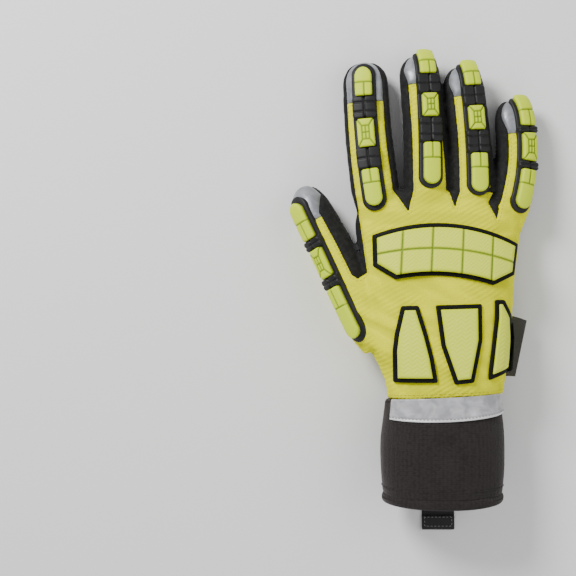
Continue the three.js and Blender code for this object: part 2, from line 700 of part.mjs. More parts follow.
function pullTab() {
  const start = WRIST_Y - 2 * GAP;
  const end = HEM_Y - TAB_REACH;
  const profile = [[start, 0], [start, TAB_WALL], [end + TAB_FOLD, TAB_WALL], [end + TAB_FOLD, 2 * TAB_WALL],
    [end + TAB_WALL / 2, 2 * TAB_WALL], [end, 1.5 * TAB_WALL], [end, TAB_WALL / 2], [end + TAB_WALL / 2, 0]];
  const shape = new THREE.Shape(profile.map(([y, z]) => new THREE.Vector2(y, z)));
  const geometry = new THREE.ExtrudeGeometry(shape, { depth: TAB_WIDTH, bevelEnabled: false });
  const left = CUFF_SHIFT - TAB_WIDTH / 2;
  const lying = new THREE.Matrix4().set(0, 0, 1, left, 1, 0, 0, 0, 0, 1, 0, 0, 0, 0, 0, 1);
  return toManifold(geometry.applyMatrix4(lying));
}

function sideLabel() {
  const section = handSection(LABEL_START + LABEL_LENGTH / HAND_LENGTH / 2, 0);
  const low = WRIST_Y + LABEL_START * HAND_LENGTH;
  const top = low + LABEL_LENGTH;
  const inner = section.x + section.halfWidth + GAP;
  const outer = inner + LABEL_WIDTH;
  const outline = [[inner - LABEL_LEAN, low], [outer - LABEL_LEAN, low], [outer, top], [inner, top]];
  const height = LABEL_HEIGHT * PALM_DEPTH;
  const plate = prism(outline, height, height + LABEL_WALL);
  return plate.subtract(grown(GAP));
}

// The glove

const glove = new THREE.Group();

// Solid without the crumbs that a cut along a facet's edge can leave
function withoutCrumbs(solid) {
  const bodies = solid.decompose().filter((body) => body.volume() > CRUMB);
  return bodies.reduce((all, body) => all.add(body));
}

function addPiece(name, solid, material) {
  const { vertProperties, triVerts } = withoutCrumbs(solid).getMesh();
  const geometry = new THREE.BufferGeometry();
  geometry.setAttribute('position', new THREE.BufferAttribute(vertProperties, 3));
  geometry.setIndex(new THREE.BufferAttribute(triVerts, 1));
  const mesh = new THREE.Mesh(geometry, material);
  mesh.name = name;
  glove.add(mesh);
}

addPiece('back_panel', backPanel, yellowFabric);
addPiece('palm_panel', palmPanel, blackLeather);
for (const fork of FORKS) {
  const wall = sides.intersect(forkRoom(fork, 0));
  addPiece(`fourchette_${fork.between.join('_')}`, wall, blackLeather);
}
for (const [name, solid] of Object.entries(tips)) addPiece(`tip_${name}`, solid, greyTape);

for (const [name, finger] of Object.entries(FINGERS)) {
  const { base, pads } = fingerGuard(finger);
  addPiece(`${name}_guard_base`, base, blackRubber);
  pads.forEach((pad, i) => addPiece(`${name}_pad_${['distal', 'middle', 'proximal'][i]}`, pad, yellowRubber));
}

const knuckle = knuckleGuard();
addPiece('knuckle_frame', knuckle.plate, blackRubber);
addPiece('knuckle_pad', knuckle.pad, yellowRubber);
for (const [name, outline] of Object.entries(BACK_PADS)) {
  const { plate, pad } = backGuard(outline.map(onBack), KNUCKLE_RIM, BACK_PAD);
  addPiece(`back_frame_${name}`, plate, blackRubber);
  addPiece(`back_pad_${name}`, pad, yellowRubber);
}

const hemStart = 1 + GAP / CUFF_LENGTH;
addPiece('cuff', cuffTube(0, 1, -CUFF_WALL, 0, 3), blackKnit);
const hemEnd = hemStart + HEM_LENGTH / CUFF_LENGTH;
addPiece('cuff_hem', cuffTube(hemStart, hemEnd, -CUFF_WALL, HEM_PROUD, 1), blackKnit);
addPiece('wrist_band', wristBand(), greyTape);
addPiece('pull_tab', pullTab(), blackKnit);
addPiece('side_label', sideLabel(), blackKnit);

export default glove;
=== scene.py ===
"""Looks of a right-hand impact glove that lies palm down: hi-vis fabric back, moulded guards, knit cuff."""

import math

import bmesh
import bpy
import numpy as np
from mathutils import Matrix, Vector
from mathutils.bvhtree import BVHTree


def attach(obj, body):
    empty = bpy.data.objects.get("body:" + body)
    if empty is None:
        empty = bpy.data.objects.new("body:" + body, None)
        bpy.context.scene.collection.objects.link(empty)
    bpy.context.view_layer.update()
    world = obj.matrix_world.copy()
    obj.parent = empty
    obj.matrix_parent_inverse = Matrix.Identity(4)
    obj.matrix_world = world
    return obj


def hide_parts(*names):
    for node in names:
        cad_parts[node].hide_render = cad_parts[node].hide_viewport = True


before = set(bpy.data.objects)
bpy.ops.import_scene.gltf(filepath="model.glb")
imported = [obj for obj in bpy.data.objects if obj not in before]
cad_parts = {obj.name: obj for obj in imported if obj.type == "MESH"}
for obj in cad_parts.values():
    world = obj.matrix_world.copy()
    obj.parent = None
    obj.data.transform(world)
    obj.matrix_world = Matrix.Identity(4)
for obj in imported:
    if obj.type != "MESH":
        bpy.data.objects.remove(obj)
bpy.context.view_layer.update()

# All sizes are in millimetres until a mesh is made.
MM = 0.001
BODY = "root"

# Sizes, as in the solids.

PALM_WIDTH = 96.0
PALM_DEPTH = 46.0
HAND_LENGTH = 123.0
WRIST_Y = -64.6
HAND_ROUND = 2.5
FINGER_ROUND = 2.3
TIP_CAP = 15.0
OVER_SKIN = 1.12
BEYOND = 12.0
CAP_START = 0.85
FLOOR_SKIN = 0.5

CUFF_LENGTH = 58.0
CUFF_WIDTH = 74.0
CUFF_DEPTH = 50.0
CUFF_WALL = 3.0
CUFF_SHIFT = 1.2
CUFF_BOTTOM = 2.1
CUFF_ROUND = 2.2
HEM_LENGTH = 5.0
BAND_WIDTH = 13.0
BAND_LEFT = -62.0
BAND_RIGHT = 82.0
BAND_LIFT = 2.4
BAND_OVERLAP = 0.7
BAND_SEAM = 1.5
BAND_STEP = 0.45
BAND_PLACES = 500
BAND_THICK = 1.25
BAND_UNDER = 0.25
BAND_WAVE = 0.24
CUFF_SAG = 2.4
CUFF_STITCH = 0.915
TAB_WIDTH = 20.0
TAB_WALL = 1.3
TAB_END = -148.2
TAB_FOLD = 8.0
TAG_START = 0.09
TAG_LENGTH = 37.0
TAG_SLANT = 3.2
TAG_LEAN = 7.0
TAG_OUT = 10.8
TAG_HEIGHT = 17.5
TAG_HALF = 0.85
TAG_ROWS = 60
TAG_COLUMNS = 18

GUARD_WIDTH = 14.6
GUARD_RIM = 2.2
GUARD_PLATE = 1.5
GUARD_BLOCK = 3.8
GUARD_PAD = 4.6
KNUCKLE_PAD = 6.0
BACK_PAD = 4.6
KNUCKLE_RIM = 2.6

FINGER_KEYS = ("rootX", "rootY", "rootZ", "tipZ", "length", "heading", "bow", "width", "depth", "roll",
               "panel", "narrow", "guard", "nose", "tip", "flare")
FINGER_TABLE = {
    "thumb": (-33.5, -34, 19, 11.5, 107.6, -27.6, 0, 26.6, 23.5, -48, 60, 0, 0.07, -0.047, 0.21, 0),
    "index": (-34.5, 35, 17.5, 10.5, 103, -5.55, -2.2, 28.6, 24, -9, 54, 0, 0.105, -0.03, 0.25, 5),
    "middle": (-7, 35, 20, 10.5, 107, -2.9, 1.6, 25.8, 22.6, 12, 52, 9, 0.218, 0.06, 0.18, 20),
    "ring": (20, 35, 19.5, 10.5, 100.5, -3.4, 2.2, 25.4, 22.4, 14, 52, 14, 0.19, 0.06, 0.2, 20),
    "little": (37.5, 35, 15.5, 9.8, 80, 5, 6, 25.4, 21.4, 28, 52, 0, 0.143, 0.05, 0.27, 22),
}
FINGERS = {name: dict(zip(FINGER_KEYS, row)) for name, row in FINGER_TABLE.items()}
PADS = {
    "thumb": ((0.028, 0.279), (0.351, 0.546), (0.621, 0.96)),
    "index": ((0.014, 0.222), (0.38, 0.57), (0.72, 0.965)),
    "middle": ((0, 0.228), (0.364, 0.52), (0.695, 0.972)),
    "ring": ((0, 0.239), (0.384, 0.549), (0.712, 0.975)),
    "little": ((0, 0.3), (0.36, 0.58), (0.65, 0.958)),
}
GIRTH = {
    "finger": ((0, 0.24, 0.54, 1), (0.95, 1.1, 1.005, 0.96), (1, 1.08, 0.97, 0.84)),
    "index": ((0, 0.24, 0.54, 1), (0.88, 1.03, 1.0, 0.96), (1, 1.08, 0.97, 0.84)),
    "thumb": ((0, 0.12, 0.35, 0.6, 0.78, 0.9, 1), (0.8, 1.04, 1.0, 0.97, 0.92, 0.81, 0.7),
              (1.1, 1.3, 1.2, 1, 0.95, 0.88, 0.8)),
}
for name, finger in FINGERS.items():
    finger["girth"] = GIRTH.get(name, GIRTH["finger"])
HAND_EASE = 0.04
CUFF_EASE = 0.1
HAND_ALONG = (0, 0.07, 0.15, 0.235, 0.36, 0.52, 0.68, 0.82, 0.93, 1)
HAND_LEFT = (-0.325, -0.33, -0.372, -0.44, -0.463, -0.474, -0.508, -0.53, -0.52, -0.44)
HAND_RIGHT = (0.392, 0.403, 0.427, 0.441, 0.45, 0.465, 0.489, 0.512, 0.515, 0.455)
HAND_TOP = (1, 1, 0.99, 0.97, 0.94, 0.89, 0.84, 0.775, 0.68, 0.52)
HAND_SINK = (0.02, 0.03, 0.05, 0.07, 0.07, 0.07, 0.06, 0.03, -0.05, -0.12)
HAND_SLANT = (0.05, 0.045, 0.03, 0.01, 0, 0, 0, 0, 0, 0)
CUFF_ALONG = (0, 0.2, 0.45, 0.75, 1)
CUFF_WIDE = (0.92, 0.965, 1, 1, 0.97)
CUFF_DEEP = (0.93, 0.965, 1, 1, 0.985)
CUFF_SLANT = (0.05, 0.04, 0.02, 0.01, 0)
SEAM_ALONG = (-0.12, 0.08, 0.15, 0.4, 0.52, 0.62, 0.85, 1.15)
SEAM_LEFT = (0.3, 0.22, 0.12, 0.12, 0.2, 0.3, 0.22, 0.14)
SEAM_RIGHT = (0.38, 0.36, 0.34, 0.31, 0.31, 0.3, 0.21, 0.14)
FORKS = (
    {"between": ("thumb", "index")},
    {"between": ("index", "middle"), "across": 0.75, "reach": 11},
    {"between": ("middle", "ring"), "across": 0.54, "reach": 13.5},
    {"between": ("ring", "little"), "across": 0.2, "reach": 6.5, "heel": (-0.15, 0.24), "rise": 0.1},
)
FORK_START = 0.22
WEDGE_OVERLAP = 0.08
THUMB_FORK_START = 0.42
THUMB_FORK_TIPS = ((-48.9, 5.8), (-44.7, 9.2))
THUMB_WEB = (-47.8, 21)
THUMB_WALL_END = 84.3
THUMB_WALL_SLANT = 1.46
THUMB_SEAM = 0.35
KNUCKLE = {"x": 2.3, "y": 20, "tilt": -3.4, "halfLength": 44, "shoulder": 8.9, "crown": 18.4, "sideX": 42.5,
           "sideY": -9.6, "footX": 29, "footY": -16.7, "arch": -13}
KNUCKLE_COLUMNS = (-26.3, -8.6, 9.4, 27.2)
KNUCKLE_MID = (-3.4, 3.2)
BACK_PADS = {
    "index": ((-24.5, -10.6), (-14.4, -10.4), (-9.2, -27.5), (-5.9, -40.7), (-3.4, -55.6), (-29, -55.8),
              (-29.6, -37.2), (-28.3, -26.8)),
    "middle": ((-4.4, -10.2), (23.1, -9.4), (23.1, -30.9), (17.9, -55.6), (6.5, -56.7), (-1.3, -34.1)),
    "little": ((31.1, -7), (37.3, -7), (42.8, -17), (43.6, -30), (42.6, -49), (26.9, -54.4), (26.6, -50.5),
               (31, -17.7)),
}

# Small helpers.

TINY = 1e-9
UNREACHED = 1e9


def unit(rows):
    """Rows of vectors at length 1."""
    return rows / np.maximum(np.linalg.norm(rows, axis=-1, keepdims=True), TINY)


def soft_table(places, values, along, spread=0.05):
    """Value at a place along a table, with its corners eased."""
    total = 0
    for step in (-1, -0.5, 0, 0.5, 1):
        total = total + np.interp(np.asarray(along) + step * spread, places, values)
    return total / 5


def step_up(value, low, high):
    """Eased step from 0 at the low value to 1 at the high one."""
    share = np.clip((value - low) / (high - low), 0, 1)
    return share * share * (3 - 2 * share)


def lattice_noise(points, size, seed):
    """Smooth noise between -1 and 1 with cells of that size."""
    places = np.asarray(points, float) / size + seed * 13.37
    cell = np.floor(places).astype(np.int64)
    into = places - cell
    into = into * into * (3 - 2 * into)
    total = np.zeros(len(places))
    for corner in range(8):
        step = np.array([corner & 1, (corner >> 1) & 1, (corner >> 2) & 1])
        at = cell + step
        mixed = (at[:, 0] * 73856093) ^ (at[:, 1] * 19349663) ^ (at[:, 2] * 83492791) ^ (seed * 2654435761)
        mixed = (mixed ^ (mixed >> 13)) * 1274126177 & 0xFFFFFF
        weight = np.prod(np.where(step, into, 1 - into), axis=1)
        total += weight * (mixed / 0x7FFFFF - 1)
    return total


def folds(points, along, short, long, seed):
    """Soft ridges that run along a direction."""
    ahead = np.array(along, float) / np.linalg.norm(along)
    length = points @ ahead
    rest = points - length[:, None] * ahead
    return lattice_noise(rest / short + length[:, None] * ahead / long, 1.0, seed)


def line_legs(line):
    """The straight pieces of a line through points."""
    return list(zip(line[:-1], line[1:]))


def leg_distance(points, legs):
    """Distance in plan from the nearest of some straight pieces."""
    nearest = np.full(len(points), UNREACHED)
    for (ax, ay), (bx, by) in legs:
        px, py = points[:, 0] - ax, points[:, 1] - ay
        ex, ey = bx - ax, by - ay
        share = np.clip((px * ex + py * ey) / max(ex * ex + ey * ey, TINY), 0, 1)
        nearest = np.minimum(nearest, np.hypot(px - share * ex, py - share * ey))
    return nearest


def inside_distance(points, outline):
    """Distance in plan from an outline, positive inside it."""
    corners = np.asarray(outline, float)
    legs = list(zip(corners, np.roll(corners, -1, axis=0)))
    inside = np.zeros(len(points), bool)
    for (ax, ay), (bx, by) in legs:
        crosses = (ay > points[:, 1]) != (by > points[:, 1])
        if abs(by - ay) > TINY:
            inside ^= crosses & (points[:, 0] < ax + (points[:, 1] - ay) * (bx - ax) / (by - ay))
    nearest = leg_distance(points, legs)
    return np.where(inside, nearest, -nearest)


def rounded_outline(corners, radius, steps=4):
    """Outline with its corners rounded by short arcs."""
    corners = np.asarray(corners, float)
    made = []
    for before, at, after in zip(np.roll(corners, 1, axis=0), corners, np.roll(corners, -1, axis=0)):
        back = (before - at) / np.linalg.norm(before - at)
        ahead = (after - at) / np.linalg.norm(after - at)
        start, end = at + back * radius, at + ahead * radius
        for share in np.linspace(0, 1, steps + 1):
            made.append((1 - share) ** 2 * start + 2 * share * (1 - share) * at + share ** 2 * end)
    return np.array(made)


# Surfaces as points, faces and values.


class Surface:
    """Triangles with named values at their points."""

    def __init__(self, points, faces, values=None):
        self.points = np.asarray(points, float)
        self.faces = np.asarray(faces, np.int64)
        self.values = values or {}

    def above(self, field, level=0.0):
        """The part where a value is over a level, cut along the line where it is equal."""
        height = self.values[field] - level
        up = height > 0
        count = up[self.faces].sum(axis=1)
        whole = self.faces[count == 3]
        one = self.faces[count == 1]
        two = self.faces[count == 2]
        one = self._turned(one, up, True)
        two = self._turned(two, up, False)
        edges = np.concatenate([one[:, [0, 1]], one[:, [0, 2]], two[:, [0, 1]], two[:, [0, 2]]])
        if len(edges) == 0:
            return self._compact(whole, self.points, self.values)
        ordered = np.sort(edges, axis=1)
        unique, back = np.unique(ordered, axis=0, return_inverse=True)
        back = back.ravel()
        low, high = unique[:, 0], unique[:, 1]
        share = np.clip(height[low] / (height[low] - height[high]), 0.02, 0.98)
        total = len(self.points)
        points = np.vstack([self.points, self._between(self.points, low, high, share)])
        values = {k: np.concatenate([v, self._between(v, low, high, share)]) for k, v in self.values.items()}
        new = total + back
        n1, n2 = len(one), len(two)
        ab, ac = new[:n1], new[n1:2 * n1]
        cd, ce = new[2 * n1:2 * n1 + n2], new[2 * n1 + n2:]
        tops = np.column_stack([one[:, 0], ab, ac])
        low_a = np.column_stack([cd, two[:, 1], two[:, 2]])
        low_b = np.column_stack([cd, two[:, 2], ce])
        return self._compact(np.vstack([whole, tops, low_a, low_b]), points, values)

    @staticmethod
    def _between(rows, low, high, share):
        weight = share[:, None] if rows.ndim == 2 else share
        return rows[low] * (1 - weight) + rows[high] * weight

    @staticmethod
    def _turned(faces, up, wanted):
        """Faces turned so that their odd corner comes first."""
        if len(faces) == 0:
            return faces.reshape(0, 3)
        odd = np.argmax(up[faces] == wanted, axis=1)
        order = (odd[:, None] + np.arange(3)) % 3
        return np.take_along_axis(faces, order, axis=1)

    @staticmethod
    def _compact(faces, points, values):
        used, back = np.unique(faces, return_inverse=True)
        return Surface(points[used], back.reshape(-1, 3), {k: v[used] for k, v in values.items()})

    def whole(self, least=80):
        """The connected parts with some size, which leaves crumbs out."""
        parent = np.arange(len(self.points))
        edges = np.vstack([self.faces[:, [0, 1]], self.faces[:, [1, 2]]])
        while True:
            low = np.minimum(parent[edges[:, 0]], parent[edges[:, 1]])
            before = parent.copy()
            np.minimum.at(parent, edges[:, 0], low)
            np.minimum.at(parent, edges[:, 1], low)
            parent = parent[parent]
            if (before == parent).all():
                break
        labels = parent[self.faces[:, 0]]
        names, counts = np.unique(labels, return_counts=True)
        kept = np.isin(labels, names[counts >= least])
        return self._compact(self.faces[kept], self.points, self.values)

    def rim(self):
        """Edges that belong to one face, in the direction of that face."""
        edges = np.vstack([self.faces[:, [0, 1]], self.faces[:, [1, 2]], self.faces[:, [2, 0]]])
        keys = np.sort(edges, axis=1)
        _, back, counts = np.unique(keys, axis=0, return_inverse=True, return_counts=True)
        return edges[counts[back.ravel()] == 1]

    def level_lines(self, field, level):
        """Lines where a value is equal to a level, as rows of points."""
        height = self.values[field] - level
        up = height > 0
        count = up[self.faces].sum(axis=1)
        segments = {}
        spots = {}

        def spot(a, b):
            key = (min(a, b), max(a, b))
            if key not in spots:
                share = height[a] / (height[a] - height[b])
                spots[key] = self.points[a] * (1 - share) + self.points[b] * share
            return key

        for faces, wanted in ((self.faces[count == 1], True), (self.faces[count == 2], False)):
            for a, b, c in self._turned(faces, up, wanted):
                first, second = spot(a, b), spot(a, c)
                segments.setdefault(first, []).append(second)
                segments.setdefault(second, []).append(first)
        lines = []
        left = set(segments)
        starts = [k for k in segments if len(segments[k]) == 1] + list(segments)
        for start in starts:
            if start not in left:
                continue
            line = [start]
            left.discard(start)
            at = start
            while True:
                following = [k for k in segments[at] if k in left]
                if not following:
                    break
                at = following[0]
                left.discard(at)
                line.append(at)
            if len(line) > 4:
                lines.append(np.array([spots[k] for k in line]))
        return lines


def grid_faces(rows, columns, close_round=False):
    """Two triangles for each cell of a grid of points."""
    row = np.arange(rows - 1)[:, None]
    span = columns if close_round else columns - 1
    column = np.arange(span)[None, :]
    a = (row * columns + column).ravel()
    b = (row * columns + (column + 1) % columns).ravel()
    c, d = a + columns, b + columns
    return np.vstack([np.column_stack([a, b, d]), np.column_stack([a, d, c])])


def make_object(name, surface, values=(), weld=0.02):
    """A mesh object from a surface, with some of its values as attributes."""
    mesh = bpy.data.meshes.new(name)
    count, faces = len(surface.points), len(surface.faces)
    mesh.vertices.add(count)
    mesh.vertices.foreach_set("co", (surface.points * MM).astype(np.float32).ravel())
    mesh.loops.add(3 * faces)
    mesh.loops.foreach_set("vertex_index", surface.faces.astype(np.int32).ravel())
    mesh.polygons.add(faces)
    mesh.polygons.foreach_set("loop_start", np.arange(0, 3 * faces, 3, dtype=np.int32))
    mesh.polygons.foreach_set("loop_total", np.full(faces, 3, dtype=np.int32))
    mesh.update(calc_edges=True)
    for key in values:
        attribute = mesh.attributes.new(key, "FLOAT", "POINT")
        attribute.data.foreach_set("value", surface.values[key].astype(np.float32))
    mesh.validate()
    mesh.shade_smooth()
    obj = bpy.data.objects.new(name, mesh)
    bpy.context.collection.objects.link(obj)
    if weld:
        made = bmesh.new()
        made.from_mesh(mesh)
        bmesh.ops.remove_doubles(made, verts=made.verts, dist=weld * MM)
        bmesh.ops.dissolve_degenerate(made, edges=made.edges, dist=1e-7)
        made.to_mesh(mesh)
        made.free()
    return obj


def bake_modifiers(obj):
    """Turns an object's modifiers into its mesh."""
    graph = bpy.context.evaluated_depsgraph_get()
    mesh = bpy.data.meshes.new_from_object(obj.evaluated_get(graph))
    obj.modifiers.clear()
    obj.data = mesh


def thicken(obj, wall):
    """Gives an open sheet its wall, towards its inside."""
    solid = obj.modifiers.new("wall", "SOLIDIFY")
    solid.thickness = wall * MM
    solid.offset = -1.0
    solid.use_even_offset = False
    bake_modifiers(obj)


def hand_over(obj, material, node):
    """Gives a finished piece its material and its body, and hides the solid that it stands for."""
    obj.data.materials.clear()
    obj.data.materials.append(material)
    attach(obj, BODY)
    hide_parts(node)


def read_mesh(mesh):
    """Points in millimetres and triangles of a mesh."""
    points = np.empty(3 * len(mesh.vertices))
    mesh.vertices.foreach_get("co", points)
    mesh.calc_loop_triangles()
    faces = np.empty(3 * len(mesh.loop_triangles), dtype=np.int64)
    mesh.loop_triangles.foreach_get("vertices", faces)
    return points.reshape(-1, 3) / MM, faces.reshape(-1, 3)


def ray_tree(surface):
    """What rays are cast at, to find a surface."""
    points = [tuple(point) for point in surface.points]
    return BVHTree.FromPolygons(points, [tuple(face) for face in surface.faces.tolist()])


def point_normals(points, faces):
    """Outward direction at each point."""
    corners = points[faces]
    flat = np.cross(corners[:, 1] - corners[:, 0], corners[:, 2] - corners[:, 0])
    total = np.zeros_like(points)
    for k in range(3):
        np.add.at(total, faces[:, k], flat)
    return unit(total)


# Hand and finger forms.


def oval_point(half_width, half_depth, angle, exponent):
    """Place on a rounded box or oval. Angle 0 is its top, and a positive angle turns to its right."""
    sine, cosine = np.sin(angle), np.cos(angle)
    across = half_width * np.sign(sine) * np.abs(sine) ** (2 / exponent)
    upward = half_depth * np.sign(cosine) * np.abs(cosine) ** (2 / exponent)
    return across, upward


def finger_point(finger, reach):
    """Middle line of a finger at distances from its root."""
    reach = np.asarray(reach, float)
    share = reach / finger["length"]
    heading = math.radians(finger["heading"])
    side = finger["bow"] * np.sin(np.pi * share)
    x = finger["rootX"] + reach * math.sin(heading) + side * math.cos(heading)
    y = finger["rootY"] + reach * math.cos(heading) - side * math.sin(heading)
    z = finger["rootZ"] + (finger["tipZ"] - finger["rootZ"]) * share
    return np.stack([x, y, z], axis=-1)


def finger_frame(finger, reach):
    """Centre, forward, side and back directions of a finger at distances from its root."""
    reach = np.asarray(reach, float)
    centre = finger_point(finger, reach)
    ahead = unit(finger_point(finger, reach + 0.5) - finger_point(finger, reach - 0.5))
    level = unit(np.cross(ahead, np.array([0.0, 0, 1])))
    upright = np.cross(level, ahead)
    roll = math.radians(finger["roll"])
    back = upright * math.cos(roll) + level * math.sin(roll)
    side = level * math.cos(roll) - upright * math.sin(roll)
    return centre, ahead, side, back


def finger_halves(finger, reach):
    """Half width and half depth of a finger at distances from its root."""
    reach = np.asarray(reach, float)
    into = np.clip((reach - finger["length"] + TIP_CAP) / TIP_CAP, 0, 1)
    closing = np.clip(1 - into ** FINGER_ROUND, 0, 1) ** (1 / FINGER_ROUND)
    places, wide, deep = finger["girth"]
    share = reach / finger["length"]
    width = finger["width"] * soft_table(places, wide, share)
    depth = finger["depth"] * soft_table(places, deep, share)
    return width / 2 * closing, depth / 2 * closing


def finger_surface(finger, around=72):
    """One finger as a closed form."""
    length = finger["length"]
    body = np.arange(0, length - TIP_CAP, 1.6)
    cap = length - TIP_CAP + TIP_CAP * np.sin(np.linspace(0, np.pi / 2, 18)[:-1])
    reaches = np.concatenate([body, cap, [length - 0.02]])
    centre, _, side, back = finger_frame(finger, reaches)
    half_width, half_depth = finger_halves(finger, reaches)
    angle = np.linspace(0, 2 * np.pi, around, endpoint=False)
    across, upward = oval_point(half_width[:, None], half_depth[:, None], angle[None, :], FINGER_ROUND)
    points = centre[:, None] + across[..., None] * side[:, None] + upward[..., None] * back[:, None]
    points[..., 2] = np.maximum(points[..., 2], FLOOR_SKIN)
    return close_rings(points)


def close_rings(points):
    """A closed surface from a row of rings."""
    rows, columns = points.shape[:2]
    flat = points.reshape(-1, 3)
    faces = grid_faces(rows, columns, close_round=True)
    hubs = np.array([points[0].mean(axis=0), points[-1].mean(axis=0)])
    first, last = len(flat), len(flat) + 1
    column = np.arange(columns)
    after = (column + 1) % columns
    start = np.column_stack([np.full(columns, first), after, column])
    base = (rows - 1) * columns
    end = np.column_stack([np.full(columns, last), base + column, base + after])
    return Surface(np.vstack([flat, hubs]), np.vstack([faces, start, end]))


def hand_section(along):
    """Middle, half width, half depth and slant of the hand, as shares of its length from the wrist."""
    left = PALM_WIDTH * soft_table(HAND_ALONG, HAND_LEFT, along, HAND_EASE)
    right = PALM_WIDTH * soft_table(HAND_ALONG, HAND_RIGHT, along, HAND_EASE)
    top = PALM_DEPTH * soft_table(HAND_ALONG, HAND_TOP, along, HAND_EASE)
    bottom = -PALM_DEPTH * soft_table(HAND_ALONG, HAND_SINK, along, HAND_EASE)
    slant = soft_table(HAND_ALONG, HAND_SLANT, along, HAND_EASE)
    return (left + right) / 2, (top + bottom) / 2, (right - left) / 2, (top - bottom) / 2, slant


def hand_rings(alongs, angle):
    """Rings of points round the hand."""
    x, z, half_width, half_depth, slant = hand_section(alongs)
    across, upward = oval_point(half_width[:, None], half_depth[:, None], angle[None, :], HAND_ROUND)
    y = WRIST_Y + alongs[:, None] * HAND_LENGTH + slant[:, None] * across
    return np.stack([x[:, None] + across, y, z[:, None] + upward], axis=-1)


def hand_surface(around=120):
    """The hand without fingers as a closed form."""
    alongs = np.linspace(-0.08, 1, 84)
    points = hand_rings(alongs, np.linspace(0, 2 * np.pi, around, endpoint=False))
    points[..., 2] = np.maximum(points[..., 2], FLOOR_SKIN)
    return close_rings(points)


def outward(surface):
    """The same closed surface with its faces turned outwards."""
    corners = surface.points[surface.faces]
    volume = np.einsum("ij,ij->i", corners[:, 0], np.cross(corners[:, 1], corners[:, 2])).sum()
    if volume < 0:
        surface.faces = surface.faces[:, ::-1].copy()
    return surface


SKIN_VOXEL = 0.85


def blended_skin():
    """Hand and fingers in one closed skin, with eased webs."""
    parts = [outward(hand_surface())] + [outward(finger_surface(f)) for f in FINGERS.values()]
    points, faces, base = [], [], 0
    for part in parts:
        points.append(part.points)
        faces.append(part.faces + base)
        base += len(part.points)
    obj = make_object("skin_form", Surface(np.vstack(points), np.vstack(faces)), weld=0)
    remesh = obj.modifiers.new("even", "REMESH")
    remesh.mode = "VOXEL"
    remesh.voxel_size = SKIN_VOXEL * MM
    ease = obj.modifiers.new("ease", "SMOOTH")
    ease.factor = 0.5
    ease.iterations = 10
    bake_modifiers(obj)
    points, faces = read_mesh(obj.data)
    bpy.data.objects.remove(obj)
    return outward(Surface(points, faces))


skin = blended_skin()
skin_normals = point_normals(skin.points, skin.faces)
skin_tree = ray_tree(skin)


def finger_places(finger, points):
    """Reach along a finger, and the place across and above its middle, of each point."""
    start = finger_point(finger, 0.0)
    far = unit(finger_point(finger, finger["length"]) - start)
    reach = (points - start) @ far
    for _ in range(4):
        centre, ahead, side, back = finger_frame(finger, reach)
        reach = reach + np.einsum("ij,ij->i", points - centre, ahead)
    centre, ahead, side, back = finger_frame(finger, reach)
    away = points - centre
    return reach, np.einsum("ij,ij->i", away, side), np.einsum("ij,ij->i", away, back)


def wedge_depth(finger, places, start):
    """How far inside the back panel's wedge of a finger each point is."""
    reach, across, upward = places
    half_width, half_depth = finger_halves(finger, np.clip(reach, 0, CAP_START * finger["length"]))
    tip_start = 1 - finger["tip"]
    flare = finger["flare"] * step_up(reach / finger["length"], tip_start, tip_start + 0.6 * finger["tip"])
    angle = np.radians(finger["panel"] + np.where(across > 0, -finger["narrow"], flare))
    side, top = oval_point(OVER_SKIN * half_width, OVER_SKIN * half_depth, angle, FINGER_ROUND)
    radial = (upward * side - np.abs(across) * top) / np.hypot(side, top)
    begin = (start - WEDGE_OVERLAP) * finger["length"]
    return np.minimum(np.minimum(radial, side - np.abs(across)), reach - begin)


def panel_corner(finger, sign, start):
    """Where an edge of a finger's back panel starts, in plan."""
    centre, _, side, back = finger_frame(finger, start * finger["length"])
    half_width, half_depth = finger_halves(finger, start * finger["length"])
    across, upward = oval_point(half_width, half_depth, sign * math.radians(finger["panel"]), FINGER_ROUND)
    point = centre + across * side + upward * back
    return float(point[0]), float(point[1])


def middle_line(finger, start):
    """Middle line of a finger in plan, from beyond its tip."""
    shares = (1 + BEYOND / finger["length"], 1, 0.75, 0.5, start)
    return [tuple(finger_point(finger, s * finger["length"])[:2]) for s in shares]


def fork_outline(fork):
    """Outline in plan of the side walls between two fingers."""
    left, right = (FINGERS[name] for name in fork["between"])
    is_thumb = left is FINGERS["thumb"]
    start = THUMB_FORK_START if is_thumb else FORK_START
    left_corner = panel_corner(left, 1, start)
    right_corner = panel_corner(right, -1, FORK_START)
    if is_thumb:
        tips = list(THUMB_FORK_TIPS)
    else:
        x = left_corner[0] + fork["across"] * (right_corner[0] - left_corner[0])
        tips = [(x, left["rootY"] + fork["reach"])]
    if "heel" in fork:
        across, down = fork["heel"]
        tips.insert(0, (left_corner[0] + across * left["width"], left_corner[1] - down * left["width"]))
    outline = middle_line(left, start) + [left_corner] + tips + [right_corner]
    outline += middle_line(right, FORK_START)[::-1]
    if is_thumb:
        outline.append((right["rootX"] - 1.2 * right["width"], outline[-1][1]))
    return outline


def thumb_room():
    """Outline in plan of the thumb's side of the hand."""
    thumb = FINGERS["thumb"]
    x, y, length = thumb["rootX"], thumb["rootY"], thumb["length"]
    far = y + 1.2 * length
    return [(x - BEYOND, y), THUMB_WEB, (x - 30, y + 0.88 * length), (x - 42, far), (x - length, far),
            (x - length, y)]


# Panels of the skin.

FAR = 30.0
places = {name: finger_places(finger, skin.points) for name, finger in FINGERS.items()}
plan = skin.points[:, :2]


